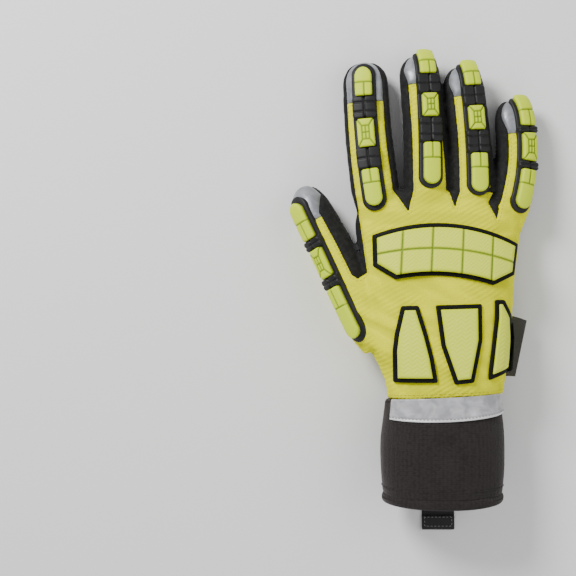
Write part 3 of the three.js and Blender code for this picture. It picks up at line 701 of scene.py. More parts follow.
def palm_depth():
    """Positive on the palm's side of the seams, about in millimetres from them."""
    reach = FINGERS["middle"]["rootY"] + FINGERS["middle"]["length"] - WRIST_Y
    along = (skin.points[:, 1] - WRIST_Y) / reach
    left = np.interp(along, SEAM_ALONG, SEAM_LEFT)
    right = np.interp(along, SEAM_ALONG, SEAM_RIGHT)
    share = np.clip((skin.points[:, 0] + PALM_WIDTH) / (2 * PALM_WIDTH), 0, 1)
    hand = PALM_DEPTH * (left + (right - left) * share) - skin.points[:, 2]
    thumb = FINGERS["thumb"]
    thumb_reach, _, upward = places["thumb"]
    _, half_depth = finger_halves(thumb, np.clip(thumb_reach, 0, CAP_START * thumb["length"]))
    on_thumb = -THUMB_SEAM * half_depth - upward
    room = inside_distance(plan, thumb_room())
    apart = np.maximum(np.minimum(hand, -room), np.minimum(on_thumb, room))
    return np.maximum(apart, np.minimum(hand, on_thumb))


def fork_depth(fork):
    """How far inside the side walls of a fork each point is."""
    left, right = fork["between"]
    start = THUMB_FORK_START if left == "thumb" else FORK_START
    room = inside_distance(plan, fork_outline(fork))
    left_wedge = wedge_depth(FINGERS[left], places[left], start + fork.get("rise", 0))
    right_wedge = wedge_depth(FINGERS[right], places[right], FORK_START)
    if left == "thumb":
        reach, across, upward = places["thumb"]
        roll = math.radians(FINGERS["thumb"]["roll"])
        level = across * math.cos(roll) + upward * math.sin(roll)
        room = np.minimum(room, 0.56 * (THUMB_WALL_END + THUMB_WALL_SLANT * level - reach))
    return np.minimum(room, np.minimum(-left_wedge, -right_wedge))


def tip_depth(name):
    """How far inside a finger's silver tip each point is."""
    finger = FINGERS[name]
    reach, across, upward = places[name]
    start = (1 - finger["tip"]) * finger["length"]
    return np.minimum(reach - start, 1.3 * finger["width"] / 2 - np.hypot(across, upward))


palm = palm_depth()
forks = [fork_depth(fork) for fork in FORKS]
tips = {name: tip_depth(name) for name in FINGERS}
any_fork = np.max(forks, axis=0)
any_tip = np.max(list(tips.values()), axis=0)
wrist = skin.points[:, 1] - (WRIST_Y + 0.045 * skin.points[:, 0])

is_palm = palm > 0
is_fork = ~is_palm & (any_fork > 0)
is_tip = ~is_palm & ~is_fork & (any_tip > 0)
seam = np.select(
    [is_palm, is_fork, is_tip],
    [palm, np.minimum(any_fork, -palm), np.minimum(np.minimum(any_tip, -palm), -any_fork)],
    np.minimum(np.minimum(-any_tip, -palm), -any_fork),
)
seam = np.minimum(np.clip(seam, 0, FAR), np.abs(wrist) + 0.8)


def nearest_finger():
    """Reach, as a share of the length, on the finger that each point belongs to, and how near it is."""
    best = np.full(len(skin.points), UNREACHED)
    share = np.zeros(len(skin.points))
    for name, finger in FINGERS.items():
        reach, across, upward = places[name]
        near = np.hypot(across, upward) / finger["width"] + np.maximum(0, -reach) / 10
        take = near < best
        best = np.where(take, near, best)
        share = np.where(take, reach / finger["length"], share)
    return share, best


finger_share, finger_near = nearest_finger()
on_finger = step_up(finger_share, 0.2, 0.34) * (1 - step_up(finger_near, 0.62, 0.82))

PALM_CREASES = (
    ((-42, 31), (-30, 33), (-14, 30), (2, 28)),
    ((-44, 20), (-30, 14), (-17, 2), (-10, -16), (-10, -38), (-14, -58)),
    ((38, 24), (22, 22), (6, 14), (-8, 10), (-24, 14)),
    ((-50, 2), (-40, -8), (-33, -22), (-31, -40)),
)


# Heights of the relief, in millimetres.
SEAM_VALLEY = 0.62
PILLOW = 0.42
PUCKER = 0.2
DIAGONAL_FOLD, THUMB_FOLD = 0.38, 0.5
CROSS_FOLD, WEB_FOLD = 0.16, 0.56
WRIST_GATHER = 0.36
JOINT_FOLD = 0.26
PALM_CREASE, FINGER_CREASE = 0.75, 0.42
PALM_CREASE_WIDTH = 1.1

# Places on a finger, as shares of its length, and the share that a fold or a crease is wide.
JOINTS, JOINT_WIDTH = (0.4, 0.68), 0.05
FINGER_CREASES, FINGER_CREASE_WIDTH = (0.42, 0.45, 0.69, 0.72), 0.008

# Where folds grow and fade on the back of the hand.
THUMB_FOLD_LEFT, THUMB_FOLD_TOP, THUMB_FOLD_END = (-6, 30), (-26, 2), (-66, -40)
WEB_FOLD_START, WEB_FOLD_END = (24, 38), (56, 70)
WRIST_FOLD_END = (-62, -44)

# The direction of some folds, the width and the length of one, and their seed.
FOLD_PATTERNS = {
    "diagonal": ((1, -0.5, 0.1), 4.4, 34, 11),
    "cross": ((1, 0.1, 0), 3.6, 26, 12),
    "gather": ((0, 1, 0), 3.6, 16, 14),
    "joint": ((1, 0, 0), 2.6, 12, 15),
    "side": ((0, 0.2, 1), 3.2, 14, 16),
}


def folded(name):
    """One of the fold patterns at the points of the skin."""
    return folds(skin.points, *FOLD_PATTERNS[name])


def across_fingers(shares, width):
    """1 at some places along the fingers and 0 between them."""
    total = np.zeros(len(skin.points))
    for share in shares:
        total += np.exp(-((finger_share - share) / width) ** 2)
    return total


def fabric_relief(broad, cross):
    """Folds of the back fabric: deeper beside the thumb, at the finger forks, the wrist and the joints."""
    x, y = skin.points[:, 0], skin.points[:, 1]
    thumb_side = step_up(-x, *THUMB_FOLD_LEFT) * step_up(-y, *THUMB_FOLD_TOP) * step_up(y, *THUMB_FOLD_END)
    web_side = step_up(y, *WEB_FOLD_START) * (1 - step_up(y, *WEB_FOLD_END))
    wrist_side = 1 - step_up(y, *WRIST_FOLD_END)
    diagonal = folded("diagonal") * (DIAGONAL_FOLD + THUMB_FOLD * thumb_side) * (1 - web_side)
    back_folds = diagonal + cross * (CROSS_FOLD + WEB_FOLD * web_side)
    gather = folded("gather") * WRIST_GATHER * wrist_side
    back = back_folds + 0.3 * broad + gather
    joint = across_fingers(JOINTS, JOINT_WIDTH)
    fingers = JOINT_FOLD * joint * folded("joint") + 0.16 * broad + 0.1 * cross
    return back * (1 - on_finger) + fingers * on_finger


def leather_relief(broad, cross):
    """Creases of the palm and of the finger fronts."""
    crease_legs = [leg for line in PALM_CREASES for leg in line_legs(line)]
    palm_crease = np.exp(-(leg_distance(plan, crease_legs) / PALM_CREASE_WIDTH) ** 2)
    finger_crease = across_fingers(FINGER_CREASES, FINGER_CREASE_WIDTH)
    creased = -PALM_CREASE * palm_crease * (1 - on_finger) - FINGER_CREASE * finger_crease * on_finger
    return creased + 0.28 * broad + 0.14 * cross


def skin_relief():
    """Height that seams, stuffing, folds and creases add to the skin, and a fold value for painted shade: it
    is low in the fold hollows, where the yellow cloth is painted darker.
    """
    points = skin.points
    valley = -SEAM_VALLEY * np.exp(-(seam / 1.0) ** 2)
    pillow = PILLOW * (1 - np.exp(-seam / 2.6))
    pucker = PUCKER * lattice_noise(points, 3.1, 5) * np.exp(-seam / 3.2)
    broad, cross = lattice_noise(points, 17, 13), folded("cross")
    fabric, leather = fabric_relief(broad, cross), leather_relief(broad, cross)
    tape = 0.12 * broad
    sides = 0.22 * broad + 0.24 * folded("side")
    own = np.select([is_palm, is_fork, is_tip], [leather, sides, tape], fabric)
    hold = 1 - np.exp(-seam / 2.4)
    height = valley + pillow - PILLOW + pucker + own * hold
    # The second value is for painted shade: it falls in the hollows of the folds.
    return height, np.clip(0.5 + 0.8 * own * hold, 0, 1)


relief, fold_shade = skin_relief()
skin.points = skin.points + skin_normals * relief[:, None]
skin.points[:, 2] = np.maximum(skin.points[:, 2], FLOOR_SKIN)
skin.values = {"palm": palm, "back": -palm, "wrist": wrist, "seam": seam, "fork": any_fork,
               "open": -any_fork, "tips": any_tip, "cloth": -any_tip, "fold": fold_shade}
for index, depth in enumerate(forks):
    skin.values[f"fork_{index}"] = depth
for name, depth in tips.items():
    skin.values[f"tip_{name}"] = depth

SEAM_GAP = 0.12
body_skin = skin.above("wrist", 0.1)
palm_sheet = body_skin.above("palm", SEAM_GAP).whole()
over_sheet = body_skin.above("back", SEAM_GAP)
fork_sheets = {
    "fourchette_" + "_".join(fork["between"]): over_sheet.above(f"fork_{index}", SEAM_GAP).whole()
    for index, fork in enumerate(FORKS)
}
open_sheet = over_sheet.above("open", SEAM_GAP)
tip_sheets = {name: open_sheet.above(f"tip_{name}", SEAM_GAP).whole() for name in FINGERS}
back_sheet = open_sheet.above("cloth", SEAM_GAP).whole()

# Ways over the skin for what lies on it.

RAY_START = 16.0
PLAN_HEIGHT = 34.0
LOWEST_GUARD = 18.6
MISSED_HEIGHT = -3.0
LEAST_LEAN = 0.62


def skin_heights(origins, directions, spread):
    """How high the skin stands under each point, on a grid, and how steep it is there."""
    rows, columns = origins.shape[:2]
    heights = np.full(rows * columns, np.nan)
    lean = np.ones(rows * columns)
    flat_origins = (origins + RAY_START * directions).reshape(-1, 3)
    flat_directions = directions.reshape(-1, 3)
    for i, (origin, direction) in enumerate(zip(flat_origins.tolist(), flat_directions.tolist())):
        ray = Vector(direction)
        hit, normal, _, distance = skin_tree.ray_cast(Vector(origin), -ray, 2 * RAY_START)
        if hit is not None:
            heights[i] = RAY_START - distance
            lean[i] = normal.dot(ray)
    heights = heights.reshape(rows, columns)
    lean = lean.reshape(rows, columns)
    heights[np.isnan(heights)] = MISSED_HEIGHT
    for _ in range(spread):
        for grid in (heights, lean):
            wide = np.pad(grid, 1, mode="edge")
            grid[:] = (2 * grid + wide[:-2, 1:-1] + wide[2:, 1:-1] + wide[1:-1, :-2] + wide[1:-1, 2:]) / 6
    return heights, lean


class FingerWay:
    """Across and along the back of a finger, and down over the end of its tip."""

    def __init__(self, finger, aside):
        length = finger["length"]
        body = np.arange(-8, length - TIP_CAP, 0.5)
        cap = length - TIP_CAP + TIP_CAP * np.sin(np.linspace(0, np.pi / 2, 70))
        self.reach = np.concatenate([body, cap])
        centre, _, side, back = finger_frame(finger, self.reach)
        _, half_depth = finger_halves(finger, self.reach)
        moved = finger["width"] * np.interp(self.reach / length, (finger["guard"], 1), aside)
        path = centre + half_depth[:, None] * back + moved[:, None] * side
        steps = np.linalg.norm(np.diff(path, axis=0), axis=1)
        self.arc = np.concatenate([[0], np.cumsum(steps)])
        tangent = unit(np.gradient(path, self.arc + np.arange(len(path)) * 1e-6, axis=0))
        self.path, self.side = path, side
        self.normal = unit(np.cross(side, tangent))

    def at(self, rows, along):
        return np.stack([np.interp(along, self.arc, rows[:, k]) for k in range(3)], axis=-1)

    def arc_of(self, reach):
        return float(np.interp(reach, self.reach, self.arc))

    def base(self, across, along):
        return self.at(self.path, along) + across[..., None] * self.at(self.side, along)

    def up(self, across, along):
        return unit(self.at(self.normal, along))


class PlanWay:
    """Straight down on the back of the hand: the guards there are drawn in plan."""

    def base(self, x, y):
        return np.stack([x, y, np.full(x.shape, PLAN_HEIGHT)], axis=-1)

    def up(self, x, y):
        return np.stack([np.zeros_like(x), np.zeros_like(x), np.ones_like(x)], axis=-1)


def flat_grid(low, high, step):
    """Places across and along a flat grid."""
    xs = np.arange(low[0], high[0] + step, step)
    ys = np.arange(low[1], high[1] + step, step)
    across, along = np.meshgrid(xs, ys)
    return across, along


def spread_grid(across, along, rise, lean):
    """A flat surface over a grid, with the height and the steepness of what lies under it."""
    points = np.stack([across.ravel(), along.ravel(), np.zeros(across.size)], axis=-1)
    return Surface(points, grid_faces(*across.shape), {"rise": rise.ravel(), "lean": lean.ravel()})


def laid_grid(way, low, high, step, spread=3):
    """A flat grid that knows how the skin lies under it."""
    across, along = flat_grid(low, high, step)
    heights, lean = skin_heights(way.base(across, along), way.up(across, along), spread)
    return spread_grid(across, along, heights, np.clip(lean, LEAST_LEAN, 1))


def raised(way, flat, height, bottom):
    """Closed solid over a flat piece of a grid, between two heights over the skin."""
    across, along = flat.points[:, 0], flat.points[:, 1]
    base, up = way.base(across, along), way.up(across, along)
    lean = flat.values["lean"]
    top = base + up * (flat.values["rise"] + height / lean)[:, None]
    low = base + up * (flat.values["rise"] + bottom / lean)[:, None]
    count = len(top)
    rim = flat.rim()
    first, second = rim[:, 0], rim[:, 1]
    walls = np.vstack([
        np.column_stack([second, first, first + count]),
        np.column_stack([second, first + count, second + count]),
    ])
    faces = np.vstack([flat.faces, flat.faces[:, ::-1] + count, walls])
    values = {key: np.concatenate([value, value]) for key, value in flat.values.items()}
    return Surface(np.vstack([top, low]), faces, values)


def round_edge(inside, height, radius):
    """Height of a top whose edge is rounded."""
    into = np.clip(inside / radius, 0, 1)
    return height - radius + radius * np.sqrt(np.clip(1 - (1 - into) ** 2, 0, 1))


def rounded_box(across, along, half, start, end, start_radius, end_radius):
    """Distance inside a box with rounded corners."""
    middle = (start + end) / 2
    radius = np.where(along < middle, start_radius, end_radius)
    qx = np.abs(across) - (half - radius)
    qy = np.abs(along - middle) - ((end - start) / 2 - radius)
    outside = np.hypot(np.maximum(qx, 0), np.maximum(qy, 0)) + np.minimum(np.maximum(qx, qy), 0) - radius
    return -outside


def moulded_cut(points, legs, width):
    """A groove along straight pieces of line: 1 in its middle, 0 well beside it."""
    return np.exp(-(leg_distance(points, legs) / width) ** 2)


def edge_value(inside, reach):
    """1 at an outline, falling to 0 that far inside it."""
    return np.clip(1 - inside / reach, 0, 1)


GUARD_STEP = 0.44
GUARD_ASIDE = {"middle": (-0.047, 0.1), "ring": (-0.012, 0.083), "little": (0.012, 0.09)}
TIP_RIM = 4.1
WRAP_SHORT = 3.8
WRAP_RIM = 1.0
LOBE = 1.9
EDGE_REACH = 1.1
GUARD_MARGIN = 0.4
GUARD_SINK = 0.35
BLOCK_CUT = 0.5
BLOCK_GROOVE = 0.7
BLOCK_GAP = 0.3
LONG_BLOCK = 13
PAD_CUT = 0.42
PAD_GROOVE = 0.75
PAD_CROWN = 0.35
PAD_CORNER = 1.3
WRAP_CORNER = 2.2
HAND_PAD_CUT = 0.6
HAND_PAD_GROOVE = 1.1
HAND_PAD_ROUND = 1.5
HAND_PAD_SINK = 0.15
HAND_PAD_THINNED = 0.4
HAND_PAD_ROOT = 0.35
FRAME_UNDER_PAD = 1.6
FRAME_RISE = 0.5
FRAME_DIP = 0.4
FRAME_SINK = 0.4
THIN_LEAN = (0.35, 0.8)
RIB_START = (1.4, 2.4)
RIB_HEIGHT = 0.16


def pad_lines(kind, half, low, high):
    """Grooves moulded into a pad, as straight lines. Its tip end is at high."""
    long = high - low
    if kind == "distal":
        turn = high - 0.52 * long
        return [((-half, turn), (half, turn)), ((0.5, turn), (0.5, low))]
    if kind == "proximal":
        turn = high - 0.38 * long
        return [((-half, turn), (half, turn)), ((0, turn), (0, high))]
    middle = (low + high) / 2
    inner, tall = 0.42 * half, 0.24 * long
    near, far = middle - tall, middle + tall
    corners = [(-inner, near), (inner, near), (inner, far), (-inner, far)]
    outer = [(-half, low), (half, low), (half, high), (-half, high)]
    lines = list(zip(corners, corners[1:] + corners[:1]))
    lines += list(zip(corners, outer))
    lines += [((0, near), (0, far)), ((-inner, middle), (inner, middle))]
    return lines


def finger_guard(name):
    """Black strip and yellow pads of a finger."""
    finger = FINGERS[name]
    way = FingerWay(finger, GUARD_ASIDE.get(name, (0, 0)))
    length = finger["length"]
    nose, root = length * (1 + finger["nose"]), length * finger["guard"]
    wraps = finger["nose"] > 0
    half = GUARD_WIDTH / 2
    pad_half = half - GUARD_RIM
    start = way.arc_of(root)
    end = way.arc[-1] - WRAP_SHORT if wraps else way.arc_of(nose)

    def place(share):
        reach = nose - share * (nose - root)
        if share < 0.03:
            return end - (WRAP_RIM if wraps else TIP_RIM)
        return way.arc_of(reach)

    low_corner = (-half - GUARD_MARGIN, start - GUARD_MARGIN)
    high_corner = (half + GUARD_MARGIN, end + GUARD_MARGIN)
    grid = laid_grid(way, low_corner, high_corner, GUARD_STEP)
    across, along = grid.points[:, 0], grid.points[:, 1]
    end_radius = WRAP_CORNER if wraps else half - 0.1
    grid.values["inside"] = rounded_box(across, along, half, start, end, half - 0.01, end_radius)
    base = grid.above("inside")
    across, along = base.points[:, 0], base.points[:, 1]
    inside = base.values["inside"]
    height = round_edge(inside, GUARD_PLATE, 0.6)
    groove = np.zeros(len(across))
    pads = PADS[name]
    for near, far in zip(pads[:-1], pads[1:]):
        high, low = place(near[1]) - BLOCK_GAP, place(far[0]) + BLOCK_GAP
        lobes = [rounded_box(across + shift, along, half / 2, low, high, LOBE, LOBE)
                 for shift in (-half / 2, half / 2)]
        block = np.minimum(np.maximum(*lobes), inside)
        turns = [(low + high) / 2]
        if high - low > LONG_BLOCK:
            turns = [low + share * (high - low) for share in (0.3, 0.72)]
        lines = [((0, low), (0, high))] + [((-half, turn), (half, turn)) for turn in turns]
        cut = moulded_cut(base.points, lines, BLOCK_CUT)
        rise = round_edge(block, GUARD_BLOCK, 1.0) - BLOCK_GROOVE * cut
        on_block = block > 0
        height = np.where(on_block, np.maximum(height, rise), height)
        groove = np.maximum(groove, np.where(on_block, cut, 0))
    base.values["groove"] = groove
    base.values["edge"] = edge_value(inside, EDGE_REACH)
    made = {f"{name}_guard_base": raised(way, base, height, -GUARD_SINK)}
    for (near, far), kind in zip(pads, ("distal", "middle", "proximal")):
        high, low = place(near), place(far)
        low_radius = pad_half - 0.05 if kind == "proximal" else PAD_CORNER
        high_radius = pad_half - 0.05 if kind == "distal" and not wraps else PAD_CORNER
        across, along = grid.points[:, 0], grid.points[:, 1]
        grid.values["pad"] = rounded_box(across, along, pad_half, low, high, low_radius, high_radius)
        pad = grid.above("pad")
        inside = pad.values["pad"]
        cut = moulded_cut(pad.points, pad_lines(kind, pad_half, low, high), PAD_CUT)
        crown = PAD_CROWN * (1 - (pad.points[:, 0] / pad_half) ** 2)
        height = round_edge(inside, GUARD_PAD - 0.3, EDGE_REACH) + crown - PAD_GROOVE * cut
        pad.values["groove"] = cut
        pad.values["edge"] = edge_value(inside, EDGE_REACH)
        made[f"{name}_pad_{kind}"] = raised(way, pad, height, GUARD_PLATE - 0.1)
    return made


def parabola(half_span, ends, middle, steps):
    """Points of an arch."""
    return [((2 * i / steps - 1) * half_span, middle + (ends - middle) * (2 * i / steps - 1) ** 2)
            for i in range(steps + 1)]


def on_knuckle(points):
    """Points of the knuckle guard turned and moved to their place."""
    tilt = math.radians(KNUCKLE["tilt"])
    return [(KNUCKLE["x"] + x * math.cos(tilt) - y * math.sin(tilt),
             KNUCKLE["y"] + x * math.sin(tilt) + y * math.cos(tilt)) for x, y in points]


def knuckle_outline():
    """Outline of the knuckle guard."""
    k = KNUCKLE
    top = parabola(k["halfLength"], k["shoulder"], k["crown"], 18)[::-1]
    foot = parabola(k["footX"], k["footY"], k["arch"], 12)
    return on_knuckle(top + [(-k["sideX"], k["sideY"])] + foot + [(k["sideX"], k["sideY"])])


BACK_STEP = 0.5


def chevrons(across, along, pitch, wide, slope):
    """Fine zigzag ribs."""
    zig = np.abs((across / wide) % 1 - 0.5) * wide
    return 0.5 + 0.5 * np.sin(2 * np.pi * (along - slope * zig) / pitch)


def back_guard(outline, rim, pad_height, lines, zig):
    """Black frame and yellow pad over an outline on the back of the hand."""
    outline = np.asarray(outline)
    low, high = outline.min(axis=0) - 0.5, outline.max(axis=0) + 0.5
    grid = laid_grid(PlanWay(), low, high, BACK_STEP, spread=2)
    skin_height = PLAN_HEIGHT + grid.values["rise"]
    over_floor = skin_height - LOWEST_GUARD
    grid.values["inside"] = np.minimum(inside_distance(grid.points, outline), over_floor)
    grid.values["ring"] = rim + FRAME_UNDER_PAD - grid.values["inside"]
    grid.values["thin"] = step_up(grid.values["lean"], *THIN_LEAN)
    plate = grid.above("inside", 0.02).above("ring")
    inside = plate.values["inside"]
    dip = FRAME_DIP * step_up(inside, rim - 0.3, rim + 0.3)
    height = round_edge(inside, GUARD_PLATE + FRAME_RISE, 0.7) - dip
    plate.values["edge"] = edge_value(inside, EDGE_REACH)
    plate.values["groove"] = np.zeros(len(inside))
    made_plate = raised(PlanWay(), plate, height, -FRAME_SINK)
    pad = grid.above("inside", rim)
    inside = pad.values["inside"] - rim
    across, along = pad.points[:, 0], pad.points[:, 1]
    cut = np.zeros(len(across))
    for line in lines:
        cut = np.maximum(cut, moulded_cut(pad.points, line_legs(line), HAND_PAD_CUT))
    ribs = chevrons(across, along, *zig)
    flat = step_up(inside, *RIB_START) * (1 - cut)
    tall = pad_height - HAND_PAD_SINK - (1 - pad.values["thin"]) * HAND_PAD_THINNED * pad_height
    smooth = round_edge(inside, tall, HAND_PAD_ROUND) - HAND_PAD_GROOVE * cut
    height = smooth + RIB_HEIGHT * (ribs - 0.5) * flat
    pad.values["groove"] = cut
    pad.values["edge"] = edge_value(inside, HAND_PAD_ROUND - 0.1)
    # The rib value also places a painted highlight on the rib crests.
    pad.values["ribs"] = ribs * flat
    return made_plate, raised(PlanWay(), pad, height, HAND_PAD_ROOT)


# The fine ribs of a pad: their pitch, and the width and the slope of their zigzag.
KNUCKLE_RIBS = (2.2, 9.0, 1.0)
BACK_RIBS = (2.5, 5.2, 0.9)
guards = {}
for finger_name in FINGERS:
    guards.update(finger_guard(finger_name))
knuckle_lines = [on_knuckle([(x, -30), (x, 30)]) for x in KNUCKLE_COLUMNS]
knuckle_lines.append(on_knuckle(parabola(KNUCKLE["halfLength"], *KNUCKLE_MID, 16)))
guards["knuckle_frame"], guards["knuckle_pad"] = back_guard(
    rounded_outline(knuckle_outline(), 0.4, 1), KNUCKLE_RIM, KNUCKLE_PAD, knuckle_lines, KNUCKLE_RIBS)
for pad_name, corners in BACK_PADS.items():
    guards[f"back_frame_{pad_name}"], guards[f"back_pad_{pad_name}"] = back_guard(
        rounded_outline(corners, 1.2), KNUCKLE_RIM, BACK_PAD, [], BACK_RIBS)

# Cuff, hem, band, tab and tag.


def cuff_skin(along, angle, offset):
    """Points round the cuff: along is a share of its length from the wrist seam."""
    half_width = CUFF_WIDTH / 2 * soft_table(CUFF_ALONG, CUFF_WIDE, along, CUFF_EASE)
    half_depth = CUFF_DEPTH / 2 * soft_table(CUFF_ALONG, CUFF_DEEP, along, CUFF_EASE)
    slant = soft_table(CUFF_ALONG, CUFF_SLANT, along, CUFF_EASE)
    across, upward = oval_point(half_width + offset, half_depth + offset, angle, CUFF_ROUND)
    sag = CUFF_SAG * along * (np.maximum(np.cos(angle), 0) ** 1.5 - 0.25)
    y = WRIST_Y - 0.3 - along * CUFF_LENGTH + slant * across - sag
    return np.stack([CUFF_SHIFT + across, y, CUFF_BOTTOM + half_depth + upward], axis=-1)


def tube_wall(profile, around, relief):
    """Closed ring of cloth from a profile of places along it and offsets from its skin."""
    angle = np.linspace(0, 2 * np.pi, around, endpoint=False)
    rings = []
    for along, offset, outer in profile:
        places = np.full(around, along)
        ring = cuff_skin(places, angle, offset)
        if outer > 0:
            away = cuff_skin(places, angle, offset + 1) - ring
            ring = ring + unit(away) * (outer * relief(ring, along, angle))[:, None]
        rings.append(ring)
    points = np.array(rings)
    rows, columns = points.shape[:2]
    flat = points.reshape(-1, 3)
    faces = grid_faces(rows, columns, close_round=True)
    column = np.arange(columns)
    after = (column + 1) % columns
    last = (rows - 1) * columns
    join = np.vstack([np.column_stack([last + column, last + after, after]),
                      np.column_stack([last + column, after, column])])
    return outward(Surface(flat, np.vstack([faces, join])))


def edge_profile(start, end, inner, outer, step, round_share):
    """Outside, rounded end, inside and rounded start of a tube's wall."""
    middle, half = (inner + outer) / 2, (outer - inner) / 2
    run = round_share * half / CUFF_LENGTH
    profile = [(along, outer, 1.0) for along in np.arange(start + run, end - run, step)]
    for turn in np.linspace(0, np.pi, 9):
        profile.append((end - run + run * math.sin(turn), middle + half * math.cos(turn),
                        max(0.0, math.cos(turn))))
    profile += [(along, inner, 0.0) for along in np.arange(end - run, start + run, -3 * step)]
    for turn in np.linspace(0, np.pi, 9):
        profile.append((start + run - run * math.sin(turn), middle - half * math.cos(turn),
                        max(0.0, -math.cos(turn))))
    return profile


CUFF_RIBS = 46
CUFF_RIB_HEIGHT = 0.28
ELASTIC_HEIGHT, ELASTIC_LENGTH = 0.45, 0.12


def dip_at(along, place, width):
    """1 at a place along the cuff, falling to 0 beside it."""
    return math.exp(-((along - place) / width) ** 2)


def cuff_relief(points, along, angle):
    """Soft folds, ribs on the palm's side and the pull of the elastic."""
    under = step_up(-np.cos(angle), 0.25, 0.7)
    ribs = np.sin(angle * CUFF_RIBS) * CUFF_RIB_HEIGHT * under
    drawn = lattice_noise(points * np.array([1, 0.25, 1]), 4.6, 21)
    gather = ELASTIC_HEIGHT * drawn * dip_at(along, 0, ELASTIC_LENGTH)
    soft = 0.34 * lattice_noise(points, 15, 22) + 0.14 * lattice_noise(points, 6, 23)
    dip = -0.3 * dip_at(along, 0.985, 0.03) - 0.5 * dip_at(along, 0, 0.025)
    stitch_dip = -0.12 * dip_at(along, CUFF_STITCH, 0.01)
    return ribs + soft + gather + dip + stitch_dip


def hem_relief(points, along, angle):
    """Soft unevenness of the bound end."""
    return 0.2 * lattice_noise(points, 7, 24) - 0.12


HEM_START = 1 + 0.3 / CUFF_LENGTH
HEM_END = HEM_START + HEM_LENGTH / CUFF_LENGTH
HEM_OVER = 0.8 / CUFF_LENGTH
HEM_OUT = 0.5
CUFF_STEP, CUFF_AROUND = 0.0125, 276
HEM_STEP, HEM_AROUND = 0.008, 260
cuff_profile = edge_profile(0.0, 1.0, -CUFF_WALL, 0, CUFF_STEP, 0.8)
hem_profile = edge_profile(HEM_START - HEM_OVER, HEM_END, -CUFF_WALL, HEM_OUT, HEM_STEP, 1.6)
cuff_tube = tube_wall(cuff_profile, CUFF_AROUND, cuff_relief)
hem_tube = tube_wall(hem_profile, HEM_AROUND, hem_relief)


class BandWay:
    """Round the cuff and along it, in millimetres, for what is sewn to its outside."""

    def __init__(self):
        self.angle = np.radians(np.linspace(-100, 110, BAND_PLACES))
        ring = cuff_skin(np.full(BAND_PLACES, 0.1), self.angle, 0.0)
        steps = np.linalg.norm(np.diff(ring[:, [0, 2]], axis=0), axis=1)
        self.arc = np.concatenate([[0], np.cumsum(steps)])
        self.arc -= np.interp(0, self.angle, self.arc)

    def base(self, arc, down):
        angle = np.interp(arc, self.arc, self.angle)
        return cuff_skin(-down / CUFF_LENGTH, angle, 0.0)

    def up(self, arc, down):
        angle = np.interp(arc, self.arc, self.angle)
        along = -down / CUFF_LENGTH
        return unit(cuff_skin(along, angle, 1.0) - cuff_skin(along, angle, 0.0))


def wrist_tape():
    """The band over the back of the cuff, and the line of its stitches."""
    way = BandWay()
    left = np.interp(math.radians(BAND_LEFT), way.angle, way.arc)
    right = np.interp(math.radians(BAND_RIGHT), way.angle, way.arc)
    across, along = flat_grid((left - 0.5, -BAND_WIDTH - 0.5), (right + 0.5, BAND_OVERLAP + 0.5), BAND_STEP)
    grid = spread_grid(across, along, np.zeros(across.shape), np.ones(across.shape))
    points = grid.points
    lift = BAND_LIFT * (points[:, 0] / right) ** 2
    half = (BAND_WIDTH - lift + BAND_OVERLAP) / 2
    centre = BAND_OVERLAP - half
    grid.values["inside"] = rounded_box(points[:, 1] - centre, points[:, 0], half, left, right, 0.8, 0.8)
    grid.values["down"] = BAND_WIDTH - lift + points[:, 1]
    tape = grid.above("inside")
    across, along = tape.points[:, 0], tape.points[:, 1]
    inside = tape.values["inside"]
    wave = BAND_WAVE * lattice_noise(np.stack([across, along * 0.4, 0 * across], axis=-1), 7.5, 31)
    wave += 0.1 * lattice_noise(tape.points, 2.6, 32)
    above_edge = tape.values["down"]
    sewn = np.exp(-((above_edge - BAND_SEAM) / 0.5) ** 2)
    tape.values["border"] = 1 - step_up(above_edge, BAND_SEAM - 0.1, BAND_SEAM + 0.4)
    tape.values["edge"] = edge_value(inside, EDGE_REACH)
    height = round_edge(inside, BAND_THICK, 0.5) + wave * step_up(inside, 0, 2) - 0.35 * sewn
    line = [(value, BAND_LIFT * (value / right) ** 2 - BAND_WIDTH + BAND_SEAM)
            for value in np.linspace(left + 1, right - 1, 220)]
    return way, raised(way, tape, height, BAND_UNDER), line


band_way, band_tape, band_stitch = wrist_tape()


def strap():
    """Webbing of the pull tab: flat run, turned end and the doubled part."""
    start, end = WRIST_Y - 0.6, TAB_END
    half = TAB_WALL / 2
    path = [(y, half) for y in np.arange(start, end + half, -1.0)]
    path += [(end + half - half * math.sin(turn), TAB_WALL - half * math.cos(turn))
             for turn in np.linspace(0, np.pi, 12)]
    path += [(y, 3 * half) for y in np.arange(end + half, end + TAB_FOLD, 0.6)]
    path = np.array(path)
    tangent = unit(np.gradient(path, axis=0))
    normal = np.stack([-tangent[:, 1], tangent[:, 0]], axis=-1)
    width = TAB_WIDTH / 2
    bevel = 0.4
    thick = half - 0.06
    flat, low = width - bevel, bevel - thick
    under = [(-width, low), (-flat, -thick), (flat, -thick), (width, low)]
    section = under + [(-across, -height) for across, height in under]
    inner = []
    for (ax, ah), (bx, bh) in zip(section, section[1:] + section[:1]):
        count = 26 if abs(bx - ax) > 5 else 1
        inner += [(ax + (bx - ax) * k / count, ah + (bh - ah) * k / count) for k in range(count)]
    rings = []
    for (y, z), (ny, nz) in zip(path, normal):
        wave = 0.12 * math.sin(y * 1.9)
        rings.append([(CUFF_SHIFT + across * (1 + 0.004 * wave), y + height * ny, z + height * nz)
                      for across, height in inner])
    points = np.array(rings)
    points[..., 2] = np.maximum(points[..., 2], 0.02)
    return outward(close_rings(points))


